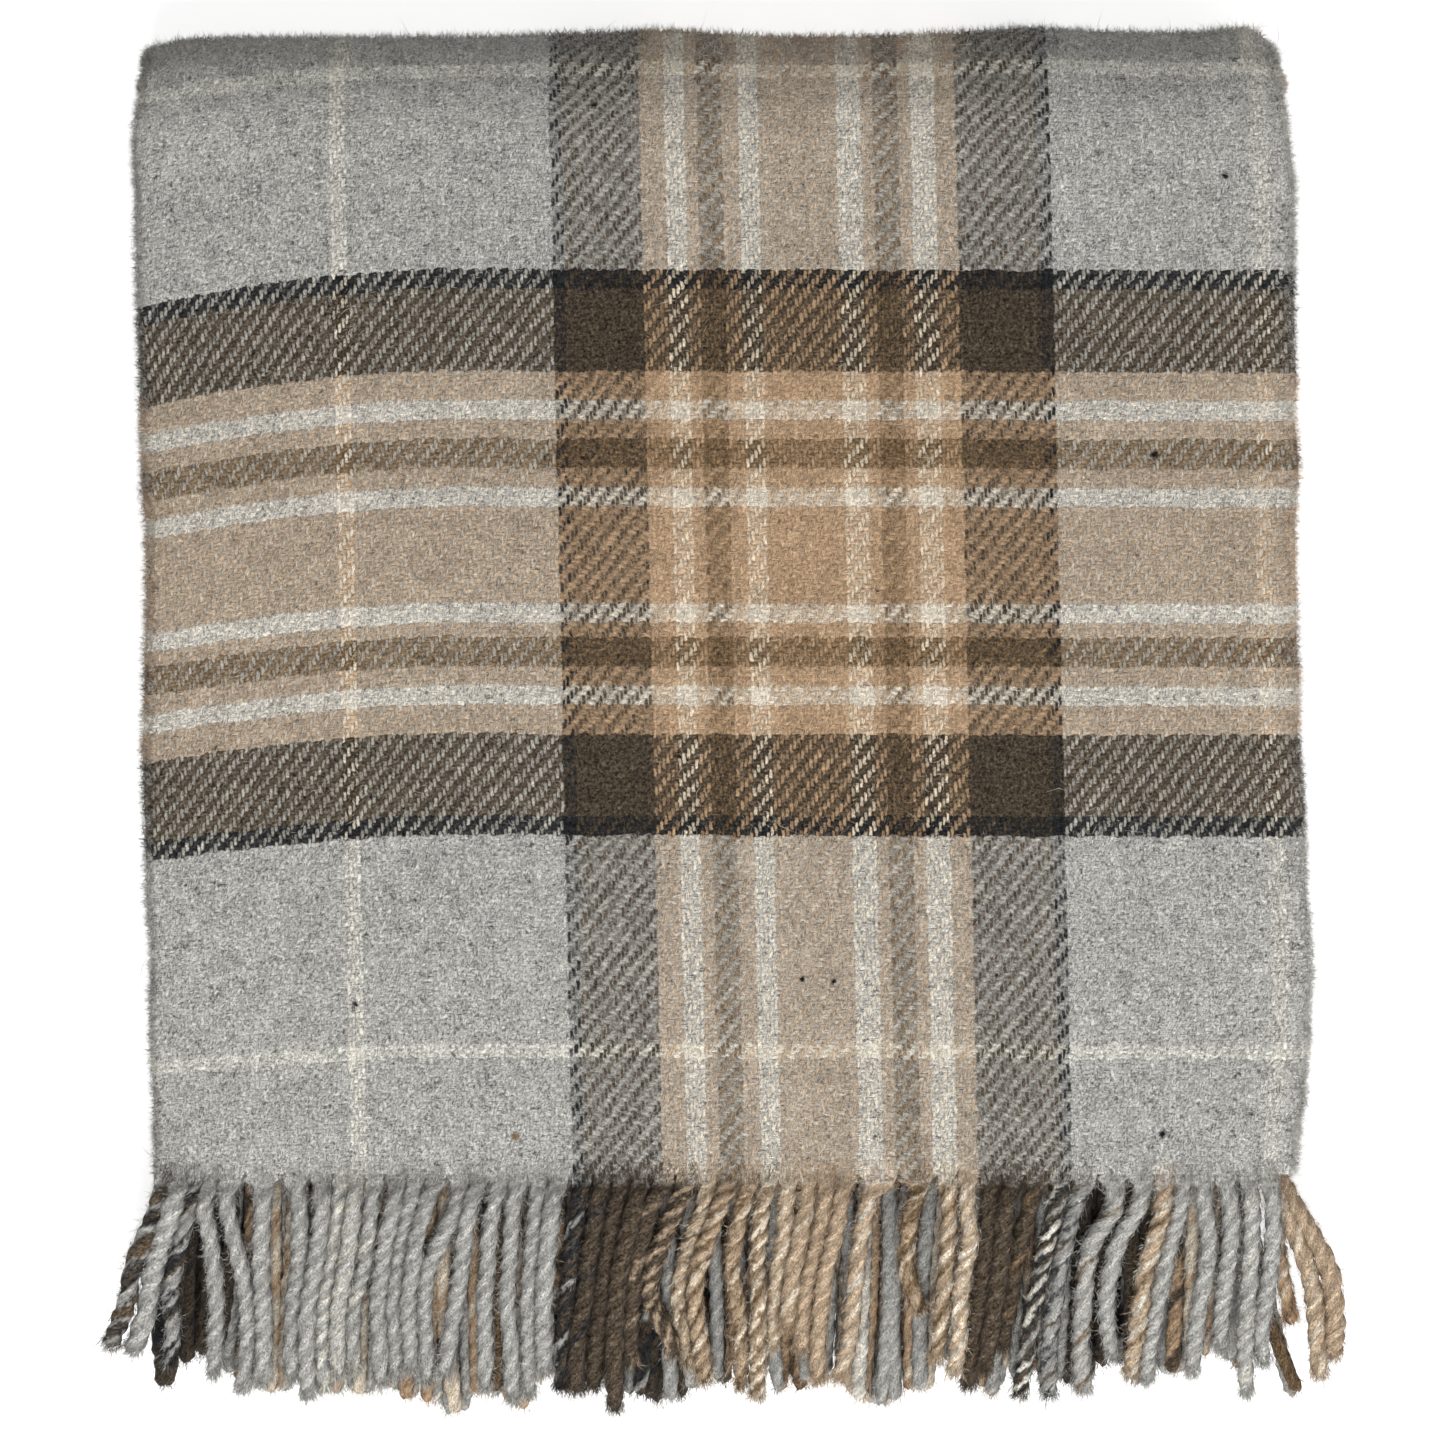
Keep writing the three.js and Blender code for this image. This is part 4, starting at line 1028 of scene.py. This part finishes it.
def cord_material():
    s = Shader("wool_twisted_cord")
    m = s.math
    att = s.node("ShaderNodeAttribute", attribute_name="Yarn", attribute_type="GEOMETRY")
    uvx = s.split(s.uv("Strand"))
    U0, V0 = m("MULTIPLY", uvx[0], 1000.0), m("MULTIPLY", uvx[1], 1000.0)

    def streak(ax, ay, scale_a, scale_b, seed):
        along = m("ADD", m("MULTIPLY", U0, ax), m("MULTIPLY", V0, ay))
        across_ = m("SUBTRACT", m("MULTIPLY", V0, ax), m("MULTIPLY", U0, ay))
        return s.noise(s.xyz(m("MULTIPLY", along, scale_a), m("MULTIPLY", across_, scale_b), seed), 1.0, 2.0, 0.65)

    f1 = streak(0.0, 1.0, 0.42, 2.1, 3.0)
    f2 = streak(0.35, 0.94, 0.5, 2.2, 11.0)
    f3 = streak(-0.45, 0.89, 0.5, 2.2, 19.0)
    f4 = streak(0.9, 0.44, 0.6, 2.2, 27.0)
    light = m("MAXIMUM", m("MAXIMUM", f1, f2), m("MAXIMUM", f3, f4))
    dim = m("MINIMUM", m("MINIMUM", f1, f2), m("MINIMUM", f3, f4))
    clump = s.noise(s.xyz(U0, V0, 3.0), 0.5, 2.0, 0.6)
    fibre = m("ADD", m("MULTIPLY_ADD", light, 2.6, -2.6 * 0.615), m("MULTIPLY_ADD", dim, 4.6, -4.6 * 0.385))
    value = m("MULTIPLY", m("MAXIMUM", m("ADD", 1.0, fibre), 0.2), s.scaled(clump, 0.72, 1.28))
    grey = s.node("ShaderNodeRGBToBW")
    s.put(grey.inputs[0], att.outputs["Color"])
    depth = m("MULTIPLY", m("SUBTRACT", 0.30, grey.outputs[0]), 4.0, clamp=True)
    grain = m("ADD", s.scaled(s.noise(s.xyz(U0, V0, 77.0), 1.05, 2.0, 0.7), -2.2, 2.2), s.scaled(s.noise(s.xyz(V0, U0, 88.0), 0.66, 1.0, 0.6), -1.5, 1.5))
    value = m("MULTIPLY", value, m("MAXIMUM", m("MULTIPLY_ADD", grain, m("MULTIPLY_ADD", depth, 0.75, 0.10), 1.0), 0.22))
    tint = s.node("ShaderNodeCombineColor")
    for k in range(3):
        s.put(tint.inputs[k], value)
    colour = s.mix(1.0, att.outputs["Color"], tint.outputs[0], "MULTIPLY")
    pale = s.mix(1.0, s.mix(1.0, att.outputs["Color"], (1.6, 1.6, 1.6), "MULTIPLY"), (0.035, 0.031, 0.025), "ADD")
    glint = m("MULTIPLY", m("SUBTRACT", m("MAXIMUM", f2, f3), 0.60), 4.0, clamp=True)
    colour = s.mix(m("MULTIPLY", glint, 0.65), colour, pale)
    # the first few millimetres are still the cloth
    cloth_colour, relief, nap = woven(s)
    ragged = s.noise(s.xyz(U0, V0, 55.0), 0.55, 2.0, 0.6)
    still = m("ADD", m("MULTIPLY", m("SUBTRACT", 1.0, att.outputs["Alpha"]), 1.9), m("MULTIPLY_ADD", ragged, 1.6, -1.25), clamp=True)
    s.put(s.bsdf.inputs["Base Color"], s.mix(still, colour, cloth_colour))
    bump = s.node("ShaderNodeBump")
    bump.inputs["Strength"].default_value = 0.8
    bump.inputs["Distance"].default_value = 0.0007
    s.put(bump.inputs["Height"], s.mixf(still, m("MULTIPLY", m("ADD", light, f1), 0.8), relief))
    s.put(s.bsdf.inputs["Normal"], bump.outputs[0])
    s.put(s.bsdf.inputs["Roughness"], s.scaled(clump, 0.86, 1.0))
    wool_surface(s)
    return s.mat


def fibre_material():
    s = Shader("wool_loose_fibre")
    att = s.node("ShaderNodeAttribute", attribute_name="Yarn", attribute_type="GEOMETRY")
    tex = s.node("ShaderNodeTexCoord")
    n = s.noise(tex.outputs["Object"], 900.0, 1.0, 0.5)
    value = s.scaled(n, 0.85, 1.15)
    tint = s.node("ShaderNodeCombineColor")
    for k in range(3):
        s.put(tint.inputs[k], value)
    s.put(s.bsdf.inputs["Base Color"], s.mix(1.0, att.outputs["Color"], tint.outputs[0], "MULTIPLY"))
    s.bsdf.inputs["Roughness"].default_value = 0.9
    s.bsdf.inputs["Specular IOR Level"].default_value = 0.2
    return s.mat


CLOTH_MAT, CORD_MAT, FIBRE_MAT = cloth_material(), cord_material(), fibre_material()


def dress(ob, material, slot, *nodes):
    ob.data.materials.append(material)
    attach(ob, "root")
    if nodes:
        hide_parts(*nodes)


record_slots = {e["node"]: e["material_slot"] for e in frame["record"]["subparts"]}

cloth = build_cloth()
dress(cloth, CLOTH_MAT, "cloth", "woven_cloth")

trim, cord_lines = [], []
for i, control in enumerate(FRONT):
    ob, run = front_cord(i, control)
    node = f"fringe_cord_{i + 1:02d}"
    dress(ob, CORD_MAT, record_slots[node], node)
    trim.append(ob)
    cord_lines.append(run)
for i, control in enumerate(SPLAYED):
    ob, run = front_cord(60 + i, control, row_level=1, name=f"splayed_cord_{i + 1}")
    if i == 0:
        short, short_run = loose_strand(LOOSE, 611, 3.1, (CAMEL, CAMEL, WHITE, CAMEL, CAMEL, TAN, CAMEL, CAMEL, WHITE))
        bpy.data.objects.remove(ob, do_unlink=True)
        ob = two_strands(f"splayed_cord_{i + 1}", last_cord, short)
        cord_lines.append(short_run)
    node = f"fringe_splayed_cord_{i + 1}"
    dress(ob, CORD_MAT, record_slots[node], node)
    trim.append(ob)
    cord_lines.append(run)
lower_lines = []
for row in range(1, 6):
    ob, lines = comb_row(row)
    dress(ob, CORD_MAT, "fringe_lower", f"fringe_row_{row + 1}")
    trim.append(ob)
    lower_lines += lines

def clumps(u, v, seed):
    """0 to 1: where darker wool gathers, from seeded lattices."""
    r = np.random.default_rng(seed)
    total = 0
    for cell, weight in ((6.5, 0.46), (2.8, 0.34), (1.3, 0.20)):
        n = int(1400 / cell)
        g = r.random((n + 1, n + 1))
        x, y = ((u + 700) / cell) % n, ((v + 700) / cell) % n
        i, j = np.floor(x).astype(int), np.floor(y).astype(int)
        fx, fy = x - i, y - j
        fx, fy = fx * fx * (3 - 2 * fx), fy * fy * (3 - 2 * fy)
        total = total + weight * ((g[j, i] * (1 - fx) + g[j, i + 1] * fx) * (1 - fy) + (g[j + 1, i] * (1 - fx) + g[j + 1, i + 1] * fx) * fy)
    return np.clip((total - 0.565) * 8.0, 0, 1)


def cloth_nap(count, seed):
    """Fibres lying on the top face and standing off the folded edges."""
    r = np.random.default_rng(seed)
    p, no = mesh_points(cloth)
    top = np.arange(NU * NV).reshape(NV, NU)
    rows_ = np.where(along[:, 4] <= MARKS[0] + 14)[0]
    cols_ = np.where((across[:, 4] >= XL - 4.5) & (across[:, 4] <= XR + 8.0))[0]
    j = rows_[r.integers(0, len(rows_) - 1, count)]
    i = cols_[r.integers(0, len(cols_) - 1, count)]
    a, b_ = r.random((count, 1)), r.random((count, 1))
    v00, v01, v10, v11 = top[j, i], top[j, i + 1], top[j + 1, i], top[j + 1, i + 1]
    pos = (p[v00] * (1 - a) + p[v01] * a) * (1 - b_) + (p[v10] * (1 - a) + p[v11] * a) * b_
    nor = no[v00]
    flip_ = np.sign(np.einsum("ij,ij->i", nor, np.stack([np.zeros(count), np.where(pos[:, 1] > TOP_Y - 22, 1.0, 0.0), np.ones(count)], 1)))
    nor = nor * np.where(flip_ == 0, 1, flip_)[:, None]
    uu = across[i, 4] * (1 - a[:, 0]) + across[i + 1, 4] * a[:, 0]
    vv = along[j, 4] * (1 - b_[:, 0]) + along[j + 1, 4] * b_[:, 0]
    vv = vv + weft_bow(uu, vv)
    warp = r.random(count) < 0.42
    col = np.array([sett_colour(q) if w else weft_colour(t) for q, t, w in zip(uu, vv, warp)])
    lay = r.standard_normal((count, 3))
    lay -= nor * np.einsum("ij,ij->i", lay, nor)[:, None]
    lay /= np.linalg.norm(lay, axis=1, keepdims=True)
    lift = r.uniform(0.06, 0.5, count)
    d = lay * np.sqrt(1 - lift**2)[:, None] + nor * lift[:, None]
    length = r.gamma(3.5, 0.72, count) * np.where(r.random(count) < 0.05, 2.4, 1.0)
    tone = np.where(r.random(count) < 0.3, r.uniform(0.35, 0.8, count), r.uniform(1.0, 1.35, count))
    wool = np.abs(col - GREY).sum(1) < 0.05
    tone = np.where(wool, 1.03 * tone * (1 - 0.84 * clumps(uu, vv, 5) * (r.random(count) < 0.85)), tone * 0.35 + 0.65)
    return pos + nor * 0.05, d, length, np.clip(col * tone[:, None] + 0.04 * (r.random((count, 1)) < 0.5) * [1, 0.9, 0.75], 0, 0.9)


def edge_nap(count, seed):
    """Fibres standing off the outline of the folded edges."""
    r = np.random.default_rng(seed)
    p, no = mesh_points(cloth)
    grid = np.arange(NU * NV).reshape(NV, NU)
    left = np.where((across[:, 4] > XL - 5.0) & (across[:, 4] < XL - 0.4))[0]
    right = np.where((across[:, 4] > XR + 1.0) & (across[:, 4] < XR + 9.5))[0]
    fold = np.where((along[:, 4] > MARKS[0] - 22) & (along[:, 4] < MARKS[0] + 12))[0]
    third = count // 3
    js = np.concatenate([r.integers(0, NV - 1, 2 * third), fold[r.integers(0, len(fold), count - 2 * third)]])
    mid = np.where((across[:, 4] >= XL) & (across[:, 4] <= XR))[0]
    is_ = np.concatenate([left[r.integers(0, len(left), third)], right[r.integers(0, len(right), third)], mid[r.integers(0, len(mid) - 1, count - 2 * third)]])
    a, b_ = r.random((count, 1)), r.random((count, 1))
    v00, v01, v10, v11 = grid[js, is_], grid[js, is_ + 1], grid[js + 1, is_], grid[js + 1, is_ + 1]
    pos = (p[v00] * (1 - a) + p[v01] * a) * (1 - b_) + (p[v10] * (1 - a) + p[v11] * a) * b_
    nor = no[v00]
    out = np.zeros((count, 3))
    out[:third, 0], out[third:2 * third, 0] = -1, 1
    out[2 * third:] = nor[2 * third:] * np.sign(nor[2 * third:, 1:2] + 1e-6)
    out[2 * third:, 1] = np.abs(out[2 * third:, 1])
    vv = along[js, 4] + 0.0
    uu = across[is_, 4] + 0.0
    warp = r.random(count) < 0.42
    col = np.array([sett_colour(q) if w else weft_colour(t) for q, t, w in zip(uu, vv + weft_bow(uu, vv), warp)])
    d = out + 0.75 * r.standard_normal((count, 3))
    d[:, 2] = np.abs(d[:, 2]) * 0.7
    d /= np.linalg.norm(d, axis=1, keepdims=True)
    length = np.minimum(r.gamma(2.6, 0.85, count), 4.2)
    tone = r.uniform(0.6, 1.15, (count, 1))
    # painted light: fibres on the right-hand edge are painted 1.5 times lighter, to brighten the shaded right side
    tone[third:2 * third] *= 1.5
    return pos, d, length, np.clip(col * tone, 0, 0.9)


def root_fibres(per, seed):
    """Warp fibres combed from the last picks down over the tops of the cords."""
    r = np.random.default_rng(seed)
    P, D, L, C = [], [], [], []
    for i, (line, radius, yarns, turn, flat) in enumerate(cord_lines[:len(FRONT)]):
        x0 = FRONT[i, 0] + r.uniform(-4.4, 4.4, per)
        y0 = r.uniform(-170.5, -164.0, per)
        aim_x = FRONT[i, 0] + 0.35 * (x0 - FRONT[i, 0]) + (FRONT[i, 1] - FRONT[i, 0]) * 0.7
        z = TOP_Z + HALF + 0.02 + 0 * x0
        p = lie(np.stack([x0, y0, z], 1))
        q = np.stack([aim_x, y0 - 9.0, p[:, 2] + r.uniform(0.1, 1.3, per)], 1)
        d = q - p + 0.8 * r.standard_normal((per, 3)) * [1, 1, 0.4]
        P.append(p)
        D.append(d / np.linalg.norm(d, axis=1, keepdims=True))
        L.append(r.gamma(4.0, 0.95, per))
        own = np.asarray(yarns)[r.integers(0, len(yarns), per)]
        # painted light: root fibres are painted up to 1.5 times lighter than their yarns, to lift the shade along the
        # cords' roots
        C.append(own * r.uniform(1.0, 1.5, (per, 1)))
    return np.vstack(P), np.vstack(D), np.concatenate(L), np.clip(np.vstack(C), 0, 0.9)


# Small tufts of odd wool caught in the weave: X, Y, radius, colour.
NEPS = [(162.2, 100.5, 1.1, NAVY), (29.8, -96.4, 0.7, NAVY), (41.8, -97.1, 0.7, NAVY), (-137.8, -105.8, 0.8, NAVY), (165.9, -154.5, 1.0, NAVY),
        (-77.8, -155.3, 1.1, (0.40, 0.26, 0.11)), (-48.0, 232.0, 0.7, NAVY), (188.0, 205.0, 0.9, NAVY)]


def neps(seed):
    r = np.random.default_rng(seed)
    P, D, L, C = [], [], [], []
    for x, y, size, colour in NEPS:
        n = 110
        xy = np.array([x, y]) + size * 0.5 * r.standard_normal((n, 2))
        p = lie(np.column_stack([xy, np.full(n, TOP_Z + HALF)])) + [0, 0, 0.12]
        d = np.column_stack([r.standard_normal((n, 2)), 0.15 * np.abs(r.standard_normal(n))])
        P.append(p)
        D.append(d / np.linalg.norm(d, axis=1, keepdims=True))
        L.append(r.uniform(0.5, 1.6, n) * size)
        C.append(np.array(colour) * r.uniform(0.7, 1.4, (n, 1)))
    return np.vstack(P), np.vstack(D), np.concatenate(L), np.vstack(C)


P, D, L, C = root_fibres(90, 79)
ob = fibres("root_fibres", P, D, L, C, 80, width=0.18)
dress(ob, FIBRE_MAT, "fringe_grey")
trim.append(ob)
P, D, L, C = [np.concatenate(q) for q in zip(cloth_nap(92000, 75), neps(81))]
ob = fibres("cloth_nap", P, D, L, C, 76, width=0.17)
dress(ob, FIBRE_MAT, "cloth")
trim.append(ob)
P, D, L, C = edge_nap(92000, 77)
ob = fibres("edge_nap", P, D, L, C, 78, width=0.20)
dress(ob, FIBRE_MAT, "cloth")
trim.append(ob)
P, D, L, C = cord_fibres(cord_lines, 1760, 71)
ob = fibres("cord_fibres", P, D, L, C, 72, width=0.19)
dress(ob, FIBRE_MAT, "fringe_grey")
trim.append(ob)
P, D, L, C = cord_fibres(lower_lines, 260, 73)
ob = fibres("lower_cord_fibres", P, D, L, C, 74, width=0.19)
dress(ob, FIBRE_MAT, "fringe_lower")
trim.append(ob)

# ---------------------------------------------------------------- stage, light and camera
def stage_floor():
    me = bpy.data.meshes.new("floor")
    e = 5.0
    me.from_pydata([(-e, -e, 0), (e, -e, 0), (e, e, 0), (-e, e, 0)], [], [(0, 1, 2, 3)])
    ob = bpy.data.objects.new("floor", me)
    bpy.context.scene.collection.objects.link(ob)
    ob.location = (0, 0, -0.0004)
    mat = bpy.data.materials.new("floor_white")
    mat.use_nodes = True
    b = mat.node_tree.nodes["Principled BSDF"]
    b.inputs["Base Color"].default_value = (0.8, 0.8, 0.8, 1)
    b.inputs["Roughness"].default_value = 1.0
    b.inputs["Specular IOR Level"].default_value = 0.0
    b.inputs["Emission Color"].default_value = (1, 1, 1, 1)
    b.inputs["Emission Strength"].default_value = 0.66
    me.materials.append(mat)


stage_floor()
world = bpy.data.worlds.new("studio")
bpy.context.scene.world = world
world.use_nodes = True
bg = world.node_tree.nodes["Background"]
bg.inputs["Color"].default_value = (1, 1, 1, 1)
bg.inputs["Strength"].default_value = 0.40


def area(name, at, to, size, power):
    li = bpy.data.lights.new(name, "AREA")
    li.shape = "SQUARE"
    li.size = size
    li.energy = power
    ob = bpy.data.objects.new(name, li)
    bpy.context.scene.collection.objects.link(ob)
    ob.location = at
    d = np.array(to, float) - np.array(at, float)
    from mathutils import Vector
    ob.rotation_euler = Vector(d).to_track_quat("-Z", "Y").to_euler()


area("key_softbox", (0.0, -2.4, 1.9), (0, 0, 0), 2.0, 89.0)
area("side_fill", (2.1, -0.9, 0.8), (0, 0, 0), 1.2, 11.0)

cam = bpy.data.cameras.new("camera")
cam.sensor_width = 36.0
cam.sensor_fit = "HORIZONTAL"
distance = 3.2
cam.lens = 36.0 * distance / (1445 * PX / 1000.0)
cam.clip_start, cam.clip_end = 0.1, 60.0
cam_ob = bpy.data.objects.new("camera", cam)
bpy.context.scene.collection.objects.link(cam_ob)
cam_ob.location = (SHIFT[0] / 1000, SHIFT[1] / 1000, 0.04 + distance)
cam_ob.rotation_euler = (0, 0, 0)
bpy.context.scene.camera = cam_ob
bpy.context.scene.view_settings.view_transform = "Standard"
